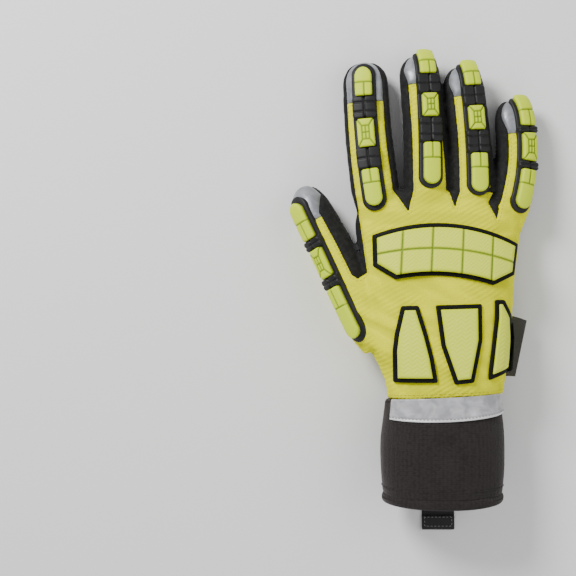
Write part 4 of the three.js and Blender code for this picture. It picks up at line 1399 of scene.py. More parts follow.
def cloth_tag():
    """Small folded tag that stands out of the little finger's side seam."""
    low_y = WRIST_Y + TAG_START * HAND_LENGTH
    middle, _, half_width, _, _ = hand_section(np.array([TAG_START + TAG_LENGTH / 2 / HAND_LENGTH]))
    inner = float(middle[0] + half_width[0]) + 0.15
    rings = []
    for row in np.linspace(0, 1, TAG_ROWS):
        y = low_y + TAG_LENGTH * row
        lean = -TAG_LEAN * (1 - row)
        curl = 0.35 * math.sin(row * 5.2)
        section = []
        for side in (0.5, -0.5):
            spots = np.linspace(0, 1, TAG_COLUMNS)
            for spot in spots if side > 0 else spots[::-1]:
                tall = TAG_HALF * (1 - 0.25 * spot ** 8)
                x = inner + lean + TAG_OUT * spot
                slanted = y - TAG_SLANT * spot * row + 0.4 * math.sin(spot * 3)
                section.append((x, slanted, TAG_HEIGHT + side * tall + curl * 0.3 * spot))
        rings.append(section)
    return outward(close_rings(np.array(rings)))


# Shader groups and materials.


def new_group(name, inputs, outputs):
    """An empty shader group with its sockets."""
    tree = bpy.data.node_groups.new(name, "ShaderNodeTree")
    for label, kind, value in inputs:
        socket = tree.interface.new_socket(label, in_out="INPUT", socket_type=f"NodeSocket{kind}")
        if value is not None:
            socket.default_value = value
    for label, kind in outputs:
        tree.interface.new_socket(label, in_out="OUTPUT", socket_type=f"NodeSocket{kind}")
    return tree, tree.nodes.new("NodeGroupInput"), tree.nodes.new("NodeGroupOutput")


class Wiring:
    """Adds nodes to a tree and joins them."""

    def __init__(self, tree):
        self.tree = tree

    def set(self, socket, value):
        """Joins a socket to another, or gives it a plain value."""
        if isinstance(value, bpy.types.NodeSocket):
            self.tree.links.new(value, socket)
        else:
            socket.default_value = value

    def add(self, kind, inputs=None, **settings):
        node = self.tree.nodes.new(kind)
        for key, value in settings.items():
            setattr(node, key, value)
        for key, value in (inputs or {}).items():
            self.set(node.inputs[key], value)
        return node

    def math(self, operation, first, second=0.0):
        return self.add("ShaderNodeMath", {0: first, 1: second}, operation=operation).outputs[0]

    def plus(self, base, value, times):
        """A base and some times a value."""
        return self.math("ADD", base, self.math("MULTIPLY", value, times))

    def mix(self, share, first, second):
        node = self.add("ShaderNodeMix", {0: share, 6: first, 7: second}, data_type="RGBA")
        return node.outputs[2]

    def partly(self, share, most, first, second):
        """A mix whose share is at most some part."""
        return self.mix(self.math("MULTIPLY", share, most), first, second)

    def ramp(self, value, stops):
        node = self.add("ShaderNodeValToRGB", {0: value})
        while len(node.color_ramp.elements) < len(stops):
            node.color_ramp.elements.new(0.5)
        for element, (place, shade) in zip(node.color_ramp.elements, stops):
            element.position = place
            element.color = (shade, shade, shade, 1)
        return node.outputs[0]

    def join(self, source, target):
        self.tree.links.new(source, target)


def cloth_loops_group():
    """Rows of small loops, as in knitted or woven cloth."""
    tree, given, out = new_group(
        "cloth_loops",
        (("Vector", "Vector", None), ("Rows per metre", "Float", 1100.0), ("Unevenness", "Float", 0.3),
         ("Loop shape", "Vector", (1.0, 0.62, 1.0))),
        (("Height", "Float"), ("Gaps", "Float")))
    w = Wiring(tree)
    scaled = w.add("ShaderNodeVectorMath", {0: given.outputs[0]}, operation="SCALE")
    w.join(given.outputs[1], scaled.inputs["Scale"])
    shape = given.outputs["Loop shape"]
    drawn = w.add("ShaderNodeMapping", {"Vector": scaled.outputs[0], "Scale": shape})
    cells = w.add("ShaderNodeTexVoronoi", {"Vector": drawn.outputs[0], "Scale": 1.0, "Randomness": 0.45})
    wander = w.add("ShaderNodeTexNoise", {"Vector": scaled.outputs[0], "Scale": 0.35, "Detail": 2.0})
    uneven = w.math("MULTIPLY", wander.outputs[0], given.outputs[2])
    height = w.math("ADD", w.math("SUBTRACT", 1.0, cells.outputs["Distance"]), uneven)
    w.join(height, out.inputs[0])
    w.join(w.ramp(cells.outputs["Distance"], ((0.35, 0), (0.85, 1))), out.inputs[1])
    return tree


def fine_rib_group():
    """Fine slanting ribs of stretched jersey, which fade in and out over the cloth."""
    tree, given, out = new_group(
        "fine_ribs",
        (("Vector", "Vector", None), ("Ribs per metre", "Float", 120.0), ("Turn", "Vector", (0, 0, 1.0))),
        (("Ribs", "Float"), ("Place", "Float")))
    w = Wiring(tree)
    turned = w.add("ShaderNodeMapping", {"Vector": given.outputs[0], "Rotation": given.outputs["Turn"]})
    bands = w.add("ShaderNodeTexWave", {"Vector": turned.outputs[0], "Distortion": 2.4, "Detail": 2.0,
                                        "Detail Scale": 0.6})
    w.join(given.outputs[1], bands.inputs["Scale"])
    patches = w.add("ShaderNodeTexNoise", {"Vector": given.outputs[0], "Scale": 34.0, "Detail": 2.0})
    w.join(bands.outputs["Fac"], out.inputs[0])
    w.join(w.ramp(patches.outputs[0], ((0.42, 0), (0.6, 1))), out.inputs[1])
    return tree


def grain_group():
    """Fine pebbles and pores of leather or moulded rubber."""
    tree, given, out = new_group(
        "fine_grain",
        (("Vector", "Vector", None), ("Grains per metre", "Float", 900.0)),
        (("Height", "Float"), ("Mottle", "Float")))
    w = Wiring(tree)
    cells = w.add("ShaderNodeTexVoronoi", {"Vector": given.outputs[0]}, feature="SMOOTH_F1")
    w.join(given.outputs[1], cells.inputs["Scale"])
    half = w.math("MULTIPLY", given.outputs[1], 0.3)
    noise = w.add("ShaderNodeTexNoise", {"Vector": given.outputs[0], "Detail": 4.0})
    w.join(half, noise.inputs["Scale"])
    w.join(w.plus(cells.outputs["Distance"], noise.outputs[0], 0.6), out.inputs[0])
    broad = w.add("ShaderNodeTexNoise", {"Vector": given.outputs[0], "Scale": 60.0, "Detail": 5.0})
    w.join(broad.outputs[0], out.inputs[1])
    return tree


def use_group():
    """Handling marks: a little dust in the low places and rubbed high places. Where the low places are
    seams, the dust mix is also painted seam shade.
    """
    tree, given, out = new_group(
        "handling",
        (("Vector", "Vector", None), ("Low places", "Float", 0.0), ("Edges", "Float", 0.0),
         ("Amount", "Float", 0.5)),
        (("Dust", "Float"), ("Rub", "Float")))
    w = Wiring(tree)
    specks = w.add("ShaderNodeTexNoise", {"Vector": given.outputs[0], "Scale": 420.0, "Detail": 6.0})
    patches = w.add("ShaderNodeTexNoise", {"Vector": given.outputs[0], "Scale": 55.0, "Detail": 3.0})
    thin = w.ramp(specks.outputs[0], ((0.42, 0), (0.72, 1)))
    wide = w.ramp(patches.outputs[0], ((0.4, 0), (0.7, 1)))
    low = w.math("ADD", w.math("MULTIPLY", given.outputs[1], 0.7), w.math("MULTIPLY", wide, 0.3))
    dust = w.math("MULTIPLY", w.math("MULTIPLY", low, thin), given.outputs[3])
    rub = w.math("MULTIPLY", w.math("MULTIPLY", given.outputs[2], wide), given.outputs[3])
    w.join(dust, out.inputs[0])
    w.join(rub, out.inputs[1])
    return tree


CLOTH_LOOPS = cloth_loops_group()
FINE_RIBS = fine_rib_group()
FINE_GRAIN = grain_group()
HANDLING = use_group()


def start_material(name, **fixed):
    """A new material with its wiring, its shader and the place on the object."""
    material = bpy.data.materials.new(name)
    material.use_nodes = True
    tree = material.node_tree
    shader = tree.nodes["Principled BSDF"]
    for key, value in fixed.items():
        shader.inputs[key.replace("_", " ")].default_value = value
    w = Wiring(tree)
    place = w.add("ShaderNodeTexCoord").outputs["Object"]
    return material, w, shader, place


def placed(w, tree, inputs):
    """A shader group placed in a material, with its own values."""
    return w.add("ShaderNodeGroup", inputs, node_tree=tree)


def dress(w, shader, tone, rough, layers):
    """Colour, roughness and bumps of a shader. A bump has a height, a strength and a depth in metres."""
    w.join(tone, shader.inputs["Base Color"])
    w.join(rough, shader.inputs["Roughness"])
    normal = None
    for height, strength, depth in layers:
        bump = w.add("ShaderNodeBump", {"Height": height, "Strength": strength, "Distance": depth})
        if normal is not None:
            w.join(normal, bump.inputs["Normal"])
        normal = bump.outputs[0]
    w.join(normal, shader.inputs["Normal"])


def read_value(w, name):
    """A value stored at the points of a mesh."""
    return w.add("ShaderNodeAttribute", attribute_name=name).outputs["Fac"]


RIB_SHADE = 0.5
RIB_DEPTH = 0.0003


def cloth_material(name, colour, deep, rows, roughness, sheen, sheen_tint, depth, dust_and_shade_colour=(0.2, 0.18, 0.12, 1),
                   amount=0.3, seam_dust_and_shade_value=None, fold_shade_value=None, loop_shape=(1.0, 0.62, 1.0), rib_turn=None):
    """Knitted or woven cloth: small loops with painted shade in the gaps between them, painted shade in the
    hollows of its folds, and ribs where it is stretched, painted darker along them.
    """
    material, w, shader, place = start_material(
        name, Sheen_Weight=sheen, Sheen_Roughness=0.5, Sheen_Tint=sheen_tint, Specular_IOR_Level=0.06)
    loops = placed(w, CLOTH_LOOPS, {"Vector": place, "Rows per metre": rows, "Loop shape": loop_shape})
    grain = placed(w, FINE_GRAIN, {"Vector": place, "Grains per metre": rows * 1.7})
    layers = [(grain.outputs["Mottle"], 0.12, 0.0008), (loops.outputs["Height"], 0.5, depth)]
    # Painted shade: the gaps between the loops are painted darker.
    tone = w.partly(loops.outputs["Gaps"], 0.55, colour, deep)
    if rib_turn:
        ribs = placed(w, FINE_RIBS, {"Vector": place, "Turn": rib_turn})
        ridge = w.math("MULTIPLY", ribs.outputs["Ribs"], ribs.outputs["Place"])
        # Painted shade: the cloth is painted darker along its fine ribs.
        tone = w.partly(ridge, RIB_SHADE, tone, deep)
        layers.append((ridge, 0.6, RIB_DEPTH))
    tone = w.partly(grain.outputs["Mottle"], 0.25, tone, deep)
    if fold_shade_value:
        # Painted shade: the cloth is painted darker in the hollows of its folds.
        hollow_shade = w.ramp(read_value(w, fold_shade_value), ((0.2, 0.75), (0.62, 0)))
        tone = w.mix(hollow_shade, tone, deep)
    # Dust and painted shade: on the yellow cloth the low places are its seams, and the darker mix there is
    # partly dust and partly painted seam shade.
    low = w.math("SUBTRACT", 1.0, read_value(w, seam_dust_and_shade_value)) if seam_dust_and_shade_value else 0.0
    marks = placed(w, HANDLING, {"Vector": place, "Low places": low, "Amount": amount})
    tone = w.mix(marks.outputs["Dust"], tone, dust_and_shade_colour)
    dress(w, shader, tone, w.plus(roughness, loops.outputs["Gaps"], 0.12), layers)
    return material


def grained_material(name, colour, worn, grains, roughness, depth):
    """Leather, thread or silicone: a fine grain with a few marks of use."""
    material, w, shader, place = start_material(name, Specular_IOR_Level=0.2, Sheen_Weight=0.03)
    grain = placed(w, FINE_GRAIN, {"Vector": place, "Grains per metre": grains})
    marks = placed(w, HANDLING, {"Vector": place, "Low places": 0.4, "Edges": 0.6, "Amount": 0.5})
    tone = w.partly(grain.outputs["Mottle"], 0.6, colour, worn)
    tone = w.partly(marks.outputs["Dust"], 0.4, tone, (0.16, 0.15, 0.13, 1))
    dress(w, shader, tone, w.plus(roughness, grain.outputs["Mottle"], 0.2),
          ((grain.outputs["Mottle"], 0.15, 0.001), (grain.outputs["Height"], 0.35, depth)))
    return material


def moulded_material(name, colour, groove_shade_colour, worn_and_highlight_colour, roughness, dust, amount, shine=0.3,
                     ribs=False):
    """Moulded rubber: painted shade in its grooves, rubbed at its edges, painted highlights on the crests of
    its fine ribs when it has them, with dust in its low places.
    """
    material, w, shader, place = start_material(name, Specular_IOR_Level=shine)
    grain = placed(w, FINE_GRAIN, {"Vector": place, "Grains per metre": 1500.0})
    groove = read_value(w, "groove")
    edge = read_value(w, "edge")
    marks = placed(w, HANDLING, {"Vector": place, "Low places": groove, "Edges": edge, "Amount": amount})
    tone = w.partly(grain.outputs["Mottle"], 0.35, colour, worn_and_highlight_colour)
    # Painted highlight: the crests of the fine ribs are painted paler.
    if ribs:
        tone = w.partly(read_value(w, "ribs"), 0.5, tone, worn_and_highlight_colour)
    # Painted shade: the grooves are painted darker.
    tone = w.mix(groove, tone, groove_shade_colour)
    tone = w.mix(marks.outputs["Rub"], tone, worn_and_highlight_colour)
    tone = w.partly(marks.outputs["Dust"], 0.5, tone, dust)
    dress(w, shader, tone, w.plus(roughness, grain.outputs["Mottle"], 0.18),
          ((grain.outputs["Mottle"], 0.06, 0.001), (grain.outputs["Height"], 0.2, 0.00012)))
    return material


def tape_material(name, colour, border_colour, border):
    """Silver reflective tape with a fine bead texture and small creases, and a painted mottled sheen: darker
    patches along the creases.
    """
    material, w, shader, place = start_material(name, Specular_IOR_Level=0.6, Sheen_Weight=0.2)
    grain = placed(w, FINE_GRAIN, {"Vector": place, "Grains per metre": 2600.0})
    crease = w.add("ShaderNodeTexNoise", {"Vector": place, "Scale": 150.0, "Detail": 6.0, "Distortion": 0.6})
    marks = placed(w, HANDLING, {"Vector": place, "Low places": 0.5, "Edges": 0.3, "Amount": 0.4})
    # Painted shade and reflection: darker patches along the crease noise give the tape a painted mottled
    # sheen.
    tone = w.mix(w.ramp(crease.outputs[0], ((0.36, 0), (0.64, 1))), colour,
                 (colour[0] * 0.6, colour[1] * 0.6, colour[2] * 0.62, 1))
    if border:
        tone = w.mix(read_value(w, "border"), tone, border_colour)
    tone = w.partly(marks.outputs["Dust"], 0.35, tone, (0.2, 0.2, 0.19, 1))
    w.join(w.ramp(crease.outputs[0], ((0.3, 0.3), (0.8, 0.15))), shader.inputs["Metallic"])
    dress(w, shader, tone, w.ramp(crease.outputs[0], ((0.3, 0.34), (0.7, 0.55))),
          ((crease.outputs[0], 0.35, 0.0006), (grain.outputs["Height"], 0.25, 0.0001)))
    return material


def webbing_material(name, colour, deep):
    """Woven tape: diagonal ribs that cross, with painted highlights on the crests of the weave."""
    material, w, shader, place = start_material(name, Sheen_Weight=0.3, Specular_IOR_Level=0.3)
    turned = w.add("ShaderNodeMapping", {"Vector": place, "Rotation": (0, 0, 0.785)})
    ribs = {"Vector": turned.outputs[0], "Scale": 260.0, "Distortion": 0.6}
    one = w.add("ShaderNodeTexWave", ribs)
    two = w.add("ShaderNodeTexWave", ribs, bands_direction="Y")
    grain = placed(w, FINE_GRAIN, {"Vector": place, "Grains per metre": 2200.0})
    weave = w.math("MAXIMUM", one.outputs["Fac"], two.outputs["Fac"])
    # Woven pattern with painted highlight: the crests of the weave are painted paler than its hollows.
    dress(w, shader, w.mix(weave, deep, colour), w.plus(0.7, grain.outputs["Mottle"], 0.2),
          ((weave, 0.5, 0.0003), (grain.outputs["Height"], 0.3, 0.0001)))
    return material


YELLOW_CLOTH = cloth_material(
    "hi_vis_stretch_cloth", (0.95, 0.95, 0.0, 1), (0.66, 0.68, 0.0, 1), 1250.0, 0.75,
    0.0, (1.0, 1.0, 0.2, 1), 0.00018, dust_and_shade_colour=(0.35, 0.32, 0.02, 1), amount=0.15,
    seam_dust_and_shade_value="cover", fold_shade_value="fold", rib_turn=(0.0, 0.0, 1.05))
CUFF_KNIT = cloth_material(
    "black_brushed_knit", (0.032, 0.027, 0.027, 1), (0.01, 0.008, 0.008, 1), 850.0, 0.9,
    0.22, (0.75, 0.7, 0.7, 1), 0.0004, dust_and_shade_colour=(0.06, 0.052, 0.052, 1), amount=0.5,
    loop_shape=(0.5, 1.0, 1.0))
PALM_LEATHER = grained_material(
    "palm_leather", (0.012, 0.012, 0.013, 1), (0.028, 0.028, 0.029, 1), 1300.0, 0.6, 0.00018)
SIDE_LEATHER = grained_material(
    "side_wall_cloth", (0.008, 0.008, 0.009, 1), (0.017, 0.017, 0.018, 1), 1700.0, 0.7, 0.00015)
SILICONE = grained_material(
    "silicone_dots", (0.62, 0.62, 0.6, 1), (0.75, 0.75, 0.73, 1), 1400.0, 0.35, 0.00008)
BLACK_RUBBER = moulded_material(
    "moulded_black", (0.008, 0.008, 0.009, 1), (0.002, 0.002, 0.002, 1), (0.03, 0.03, 0.031, 1), 0.42,
    (0.1, 0.095, 0.085, 1), 0.6)
BLACK_FRAME = moulded_material(
    "moulded_black_frame", (0.006, 0.007, 0.006, 1), (0.002, 0.002, 0.002, 1), (0.015, 0.016, 0.014, 1), 0.5,
    (0.05, 0.048, 0.04, 1), 0.4, shine=0.1)
LIME_RUBBER = moulded_material(
    "moulded_lime", (0.62, 0.8, 0.0, 1), (0.09, 0.19, 0.0, 1), (0.84, 0.98, 0.06, 1), 0.45,
    (0.35, 0.38, 0.05, 1), 0.3)
PALE_LIME = moulded_material(
    "moulded_pale_lime", (0.68, 0.82, 0.0, 1), (0.09, 0.19, 0.0, 1), (0.92, 0.98, 0.14, 1), 0.45,
    (0.4, 0.42, 0.08, 1), 0.3, ribs=True)
TIP_TAPE = tape_material("silver_tip_cloth", (0.33, 0.345, 0.37, 1), None, False)
BAND_TAPE = tape_material("silver_band_tape", (0.58, 0.58, 0.6, 1), (0.8, 0.8, 0.81, 1), True)
WEBBING = webbing_material("black_webbing", (0.03, 0.029, 0.029, 1), (0.01, 0.01, 0.01, 1))
TAG_CLOTH = webbing_material("grey_tag_cloth", (0.075, 0.073, 0.07, 1), (0.006, 0.006, 0.006, 1))

THREAD_GRAINS = 2500.0
THREAD_BUMP = 0.0001
THREAD_LOOKS = {
    "yellow": ((0.72, 0.68, 0.03, 1), (0.5, 0.48, 0.03, 1), 0.6),
    "black": ((0.03, 0.03, 0.031, 1), (0.06, 0.06, 0.06, 1), 0.6),
    "cuff": ((0.024, 0.021, 0.021, 1), (0.034, 0.03, 0.03, 1), 0.9),
    "grey": ((0.3, 0.3, 0.31, 1), (0.2, 0.2, 0.2, 1), 0.6),
}
THREADS = {name: grained_material(f"{name}_thread", colour, worn, THREAD_GRAINS, rough, THREAD_BUMP)
           for name, (colour, worn, rough) in THREAD_LOOKS.items()}

# Cloth pieces.

WALL = 1.7


def cloth_piece(name, sheet, material, node):
    """Gives a panel of the skin its wall and hands it over."""
    # This value is 0 at the seams: the yellow cloth is painted darker there, partly as dust and partly as
    # painted seam shade.
    sheet.values["cover"] = np.clip(sheet.values["seam"] / 2.2, 0, 1)
    obj = make_object(name, sheet, values=("cover", "fold"), weld=0.06)
    thicken(obj, WALL)
    hand_over(obj, material, node)


cloth_piece("back_cloth", back_sheet, YELLOW_CLOTH, "back_panel")
cloth_piece("palm_leather_sheet", palm_sheet, PALM_LEATHER, "palm_panel")
for node_name, sheet in fork_sheets.items():
    wall_name = node_name.replace("fourchette", "side_wall")
    cloth_piece(wall_name, sheet, SIDE_LEATHER, node_name)
for finger_name, sheet in tip_sheets.items():
    cloth_piece(f"silver_tip_{finger_name}", sheet, TIP_TAPE, f"tip_{finger_name}")

# Moulded pieces.

for node_name, surface in guards.items():
    is_black = "base" in node_name or "frame" in node_name
    on_hand = node_name.startswith(("knuckle", "back"))
    values = ["groove", "edge"]
    if on_hand and not is_black:
        values.append("ribs")
    obj = make_object(f"moulded_{node_name}", surface, values=values, weld=0)
    if is_black:
        rubber, slot = (BLACK_FRAME if on_hand else BLACK_RUBBER), "black_rubber"
    else:
        rubber, slot = (PALE_LIME if on_hand else LIME_RUBBER), "yellow_rubber"
    hand_over(obj, rubber, node_name)

# Cuff pieces.

CUFF_PIECES = (
    ("cuff_knit_tube", cuff_tube, (), CUFF_KNIT, "cuff", "black_knit"),
    ("cuff_bound_hem", hem_tube, (), CUFF_KNIT, "cuff_hem", "black_knit"),
    ("silver_wrist_band", band_tape, ("border", "edge"), BAND_TAPE, "wrist_band", "reflective_tape"),
    ("pull_strap", strap(), (), WEBBING, "pull_tab", "black_knit"),
    ("side_tag", cloth_tag(), (), TAG_CLOTH, "side_label", "black_knit"),
)
for piece_name, surface, values, material, node_name, slot in CUFF_PIECES:
    obj = make_object(piece_name, surface, values=values, weld=0)
    hand_over(obj, material, node_name)

# Stitches and palm dots.


class GrowthTree:
    """A Geometry Nodes tree with named sizes, that ends in real mesh with its material."""

    def __init__(self, name, source, sizes):
        self.tree = bpy.data.node_groups.new(name, "GeometryNodeTree")
        made = self.tree.interface.new_socket
        made(source, in_out="INPUT", socket_type="NodeSocketGeometry")
        self.sockets = {}
        for label, value in sizes:
            socket = made(label, in_out="INPUT", socket_type="NodeSocketFloat")
            socket.default_value = value
            self.sockets[label] = socket.identifier
        socket = made("Material", in_out="INPUT", socket_type="NodeSocketMaterial")
        self.sockets["Material"] = socket.identifier
        made("Grown", in_out="OUTPUT", socket_type="NodeSocketGeometry")
        self.wiring = Wiring(self.tree)
        self.given = self.tree.nodes.new("NodeGroupInput")
        self.out = self.tree.nodes.new("NodeGroupOutput")

    def finish(self, points, shape, turn, scale):
        """Puts a shape on each point, turned and scaled, as real mesh."""
        w = self.wiring
        put = w.add("GeometryNodeInstanceOnPoints", {
            "Points": points, "Instance": shape.outputs[0], "Rotation": turn.outputs[0],
            "Scale": scale.outputs[0]})
        real = w.add("GeometryNodeRealizeInstances", {"Geometry": put.outputs[0]})
        coloured = w.add("GeometryNodeSetMaterial", {"Geometry": real.outputs[0]})
        w.join(self.given.outputs["Material"], coloured.inputs["Material"])
        w.join(coloured.outputs[0], self.out.inputs[0])
        return self


def stitch_tree(name):
    """Short rounded threads along the lines of a mesh."""
    sizes = (("Pitch", 0.0026), ("Thread radius", 0.00028), ("Stitch length", 0.0019))
    growth = GrowthTree(name, "Lines", sizes)
    w, given = growth.wiring, growth.given
    curve = w.add("GeometryNodeMeshToCurve", {"Mesh": given.outputs["Lines"]})
    even = w.add("GeometryNodeResampleCurve", {"Curve": curve.outputs[0]}, mode="LENGTH")
    w.join(given.outputs["Pitch"], even.inputs["Length"])
    thread = w.add("GeometryNodeMeshUVSphere", {"Segments": 6, "Rings": 5})
    w.join(given.outputs["Thread radius"], thread.inputs["Radius"])
    stretch = w.math("DIVIDE", given.outputs["Stitch length"], given.outputs["Thread radius"])
    half = w.math("MULTIPLY", stretch, 0.5)
    scale = w.add("ShaderNodeCombineXYZ", {0: 1.0, 1: 1.0})
    w.join(half, scale.inputs[2])
    tangent = w.add("GeometryNodeInputTangent")
    turn = w.add("FunctionNodeAlignRotationToVector", {"Vector": tangent.outputs[0]}, axis="Z")
    return growth.finish(even.outputs[0], thread, turn, scale)


def dot_tree(name):
    """Low domes that stand on points, each along its own lean."""
    growth = GrowthTree(name, "Places", (("Radius", 0.00075), ("Flatness", 0.55), ("Size wander", 0.12)))
    w, given = growth.wiring, growth.given
    dome = w.add("GeometryNodeMeshUVSphere", {"Segments": 10, "Rings": 6})
    w.join(given.outputs["Radius"], dome.inputs["Radius"])
    lean = w.add("GeometryNodeInputNamedAttribute", {"Name": "lean"}, data_type="FLOAT_VECTOR")
    turn = w.add("FunctionNodeAlignRotationToVector", {"Vector": lean.outputs[0]}, axis="Z")
    lowest = w.math("SUBTRACT", 1.0, given.outputs["Size wander"])
    wander = w.add("FunctionNodeRandomValue", {2: lowest, 3: 1.0, "Seed": 7}, data_type="FLOAT")
    flat = w.add("ShaderNodeCombineXYZ", {0: 1.0, 1: 1.0})
    w.join(given.outputs["Flatness"], flat.inputs[2])
    sized = w.add("ShaderNodeVectorMath", {0: flat.outputs[0]}, operation="SCALE")
    w.join(wander.outputs[1], sized.inputs["Scale"])
    return growth.finish(given.outputs["Places"], dome, turn, sized)


STITCHES = stitch_tree("sewn_stitches")
DOTS = dot_tree("palm_dots")


def grown_piece(name, mesh, growth, values):
    """Runs a node tree on a mesh and keeps the result as a plain mesh."""
    source = bpy.data.objects.new(name + "_source", mesh)
    bpy.context.collection.objects.link(source)
    modifier = source.modifiers.new("grow", "NODES")
    modifier.node_group = growth.tree
    for label, value in values.items():
        modifier[growth.sockets[label]] = value
    graph = bpy.context.evaluated_depsgraph_get()
    made = bpy.data.meshes.new_from_object(source.evaluated_get(graph))
    source.modifiers.clear()
    bpy.data.objects.remove(source)
    made.name = name
    made.shade_smooth()
    obj = bpy.data.objects.new(name, made)
    bpy.context.collection.objects.link(obj)
    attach(obj, BODY)


def stitched(name, lines, thread, pitch=2.6, radius=0.28, length=1.9):
    """Threads along lines of points, with sizes in millimetres."""
    mesh = bpy.data.meshes.new(name + "_lines")
    points, edges = [], []
    for line in lines:
        start = len(points)
        points += [tuple(point * MM) for point in line]
        edges += [(start + k, start + k + 1) for k in range(len(line) - 1)]
    mesh.from_pydata(points, edges, [])
    sizes = {"Pitch": pitch * MM, "Thread radius": radius * MM, "Stitch length": length * MM}
    grown_piece(name, mesh, STITCHES, {**sizes, "Material": thread})


def eased(line, times=6):
    """A line with its small zigzags smoothed out."""
    line = line.copy()
    for _ in range(times):
        line[1:-1] = (line[:-2] + 2 * line[1:-1] + line[2:]) / 4
    return line


def long_lines(surface, field, level, least=14.0):
    """Level lines without their short pieces, broken where two points lie far apart."""
    kept = []
    for line in surface.level_lines(field, level):
        steps = np.linalg.norm(np.diff(line, axis=0), axis=1)
        for part in np.split(line, np.flatnonzero(steps > LONGEST_STEP) + 1):
            if len(part) > 4 and np.linalg.norm(np.diff(part, axis=0), axis=1).sum() > least:
                kept.append(eased(part))
    return kept


STITCH_IN = 1.7
LONGEST_STEP = 2.0
stitched("back_topstitch", long_lines(back_sheet, "seam", STITCH_IN, 20), THREADS["yellow"])
stitched("palm_topstitch", long_lines(palm_sheet, "seam", STITCH_IN, 20), THREADS["black"])
stitched("wrist_topstitch", long_lines(body_skin, "wrist", 2.4, 30), THREADS["yellow"])


def on_band(line, height):
    """Points on the band, at a height over the cuff."""
    across = np.array([p[0] for p in line])
    down = np.array([p[1] for p in line])
    return band_way.base(across, down) + band_way.up(across, down) * height


stitched("band_stitch", [on_band(band_stitch, 1.15)], THREADS["grey"],
         pitch=2.2, length=1.5, radius=0.24)
HEM_POINTS = 400
angles = np.linspace(0, 2 * np.pi, HEM_POINTS)
hem_line = cuff_skin(np.full(HEM_POINTS, CUFF_STITCH), angles, 0.05)
stitched("hem_stitch", [hem_line], THREADS["cuff"], pitch=3.0, length=2.2, radius=0.3)

BOX_HALF, BOX_TOP, BOX_END = 8.3, -140.9, -146.4
strap_box = [(-BOX_HALF, BOX_TOP), (BOX_HALF, BOX_TOP), (BOX_HALF, BOX_END), (-BOX_HALF, BOX_END),
             (-BOX_HALF, BOX_TOP)]
BOX_STEPS = 12
strap_line = []
for (ax, ay), (bx, by) in line_legs(strap_box):
    for step in range(BOX_STEPS):
        x = CUFF_SHIFT + ax + (bx - ax) * step / BOX_STEPS
        strap_line.append(np.array([x, ay + (by - ay) * step / BOX_STEPS, 2 * TAB_WALL - 0.02]))
stitched("strap_stitch", [np.array(strap_line)], THREADS["grey"], pitch=2.2, length=1.5,
         radius=0.22)

palm_tree = ray_tree(palm_sheet)
DOT_TURN = math.radians(9)
DOT_PITCH = (6.4, 6.9)
DOT_RADIUS = 0.75
DOT_COLUMNS = (-6.2, 0, 6.2)
HAND_DOTS_Y = (-60, 40)
FINGER_DOTS_Y = 44
DOT_RAY = 60
DOT_LEAN = -0.45
HAND_DOTS_IN = 2.6
FINGER_DOTS_IN = 2.2
FIRST_DOT = {"thumb": 48}
BELOW_FINGER = 30
palm_seam = palm_sheet.values["seam"]


def palm_dots():
    """Places of the silicone dots: rows over the palm, and three columns on each finger."""
    places, leans = [], []

    def drop(origin, direction, least):
        hit, normal, index, _ = palm_tree.ray_cast(Vector(origin), Vector(direction), DOT_RAY)
        if hit is None:
            return
        corners = palm_sheet.faces[index]
        if palm_seam[corners].min() < least:
            return
        out = normal if normal.dot(Vector(direction)) < 0 else -normal
        if out.dot(Vector(direction)) > DOT_LEAN:
            return
        places.append(hit)
        leans.append(out)

    for i in range(-12, 13):
        for j in range(-16, 12):
            u, v = i * DOT_PITCH[0], j * DOT_PITCH[1]
            x = u * math.cos(DOT_TURN) - v * math.sin(DOT_TURN) + 2
            y = u * math.sin(DOT_TURN) + v * math.cos(DOT_TURN) - 4
            if not HAND_DOTS_Y[0] <= y <= HAND_DOTS_Y[1]:
                continue
            thumb = finger_places(FINGERS["thumb"], np.array([[x, y, 8.0]]))
            if thumb[0][0] > 44 and abs(thumb[1][0]) < 15 and x < -34:
                continue
            drop((x, y, -20), (0, 0, 1), HAND_DOTS_IN)
    for name, finger in FINGERS.items():
        first = FIRST_DOT.get(name, 12)
        for reach in np.arange(first, finger["length"] - 4, DOT_PITCH[1] - 0.3):
            centre, _, side, back = finger_frame(finger, reach)
            if name != "thumb" and centre[1] < FINGER_DOTS_Y:
                continue
            for across in DOT_COLUMNS:
                origin = centre + side * across - back * BELOW_FINGER
                drop(tuple(origin), tuple(back), FINGER_DOTS_IN)
    return places, leans


dot_places, dot_leans = palm_dots()
dot_mesh = bpy.data.meshes.new("dot_places")
dot_mesh.from_pydata([tuple(Vector(p) * MM) for p in dot_places], [], [])
lean_values = dot_mesh.attributes.new("lean", "FLOAT_VECTOR", "POINT")
lean_values.data.foreach_set("vector", np.array([tuple(v) for v in dot_leans], dtype=np.float32).ravel())
grown_piece("palm_silicone_dots", dot_mesh, DOTS, {"Radius": DOT_RADIUS * MM, "Material": SILICONE})

# Floor, light and camera.


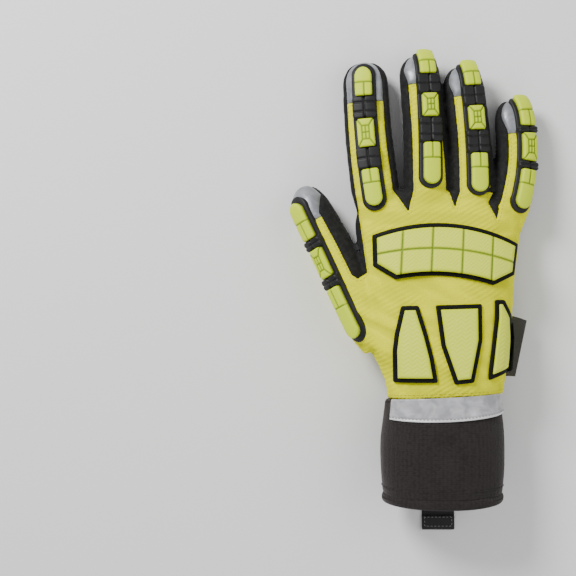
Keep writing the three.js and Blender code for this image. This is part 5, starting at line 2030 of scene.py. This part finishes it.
FLOOR_HALF = 3
WORLD_LIGHT = 0.36


def floor_material():
    """Pale card with a faint unevenness."""
    material, w, shader, place = start_material("pale_floor", Roughness=0.8)
    noise = w.add("ShaderNodeTexNoise", {"Vector": place, "Scale": 3.0, "Detail": 3.0})
    tone = w.mix(noise.outputs[0], (0.93, 0.93, 0.93, 1), (0.96, 0.96, 0.96, 1))
    w.join(tone, shader.inputs["Base Color"])
    return material


floor_mesh = bpy.data.meshes.new("studio_floor")
floor_corners = [(x * FLOOR_HALF, y * FLOOR_HALF, 0) for x, y in ((-1, -1), (1, -1), (1, 1), (-1, 1))]
floor_mesh.from_pydata(floor_corners, [], [(0, 1, 2, 3)])
floor = bpy.data.objects.new("studio_floor", floor_mesh)
bpy.context.collection.objects.link(floor)
floor_mesh.materials.append(floor_material())

world = bpy.data.worlds.new("studio")
world.use_nodes = True
background = world.node_tree.nodes["Background"]
background.inputs["Color"].default_value = (1, 1, 1, 1)
background.inputs["Strength"].default_value = WORLD_LIGHT
bpy.context.scene.world = world

LIGHTS = (
    ("key", (-0.6, 0.62, 0.72), 0.4, 13.0),
    ("fill", (0.7, 0.1, 0.8), 0.8, 3.4),
    ("low", (0.05, -0.85, 0.6), 0.8, 2.6),
)
for light_name, place, size, power in LIGHTS:
    light = bpy.data.lights.new(light_name, "AREA")
    light.shape = "DISK"
    light.size = size
    light.energy = power
    light_obj = bpy.data.objects.new(light_name, light)
    light_obj.location = place
    light_obj.rotation_euler = (-Vector(place)).to_track_quat("-Z", "Y").to_euler()
    bpy.context.collection.objects.link(light_obj)

CAMERA_X, CAMERA_Z = -0.0912, 0.925
CAMERA_SENSOR, CAMERA_LENS = 36, 93.75
camera = bpy.data.cameras.new("camera")
camera.sensor_width = CAMERA_SENSOR
camera.lens = CAMERA_LENS
camera_obj = bpy.data.objects.new("camera", camera)
camera_obj.location = (CAMERA_X, 0, CAMERA_Z)
bpy.context.collection.objects.link(camera_obj)
bpy.context.scene.camera = camera_obj

bpy.context.view_layer.update()
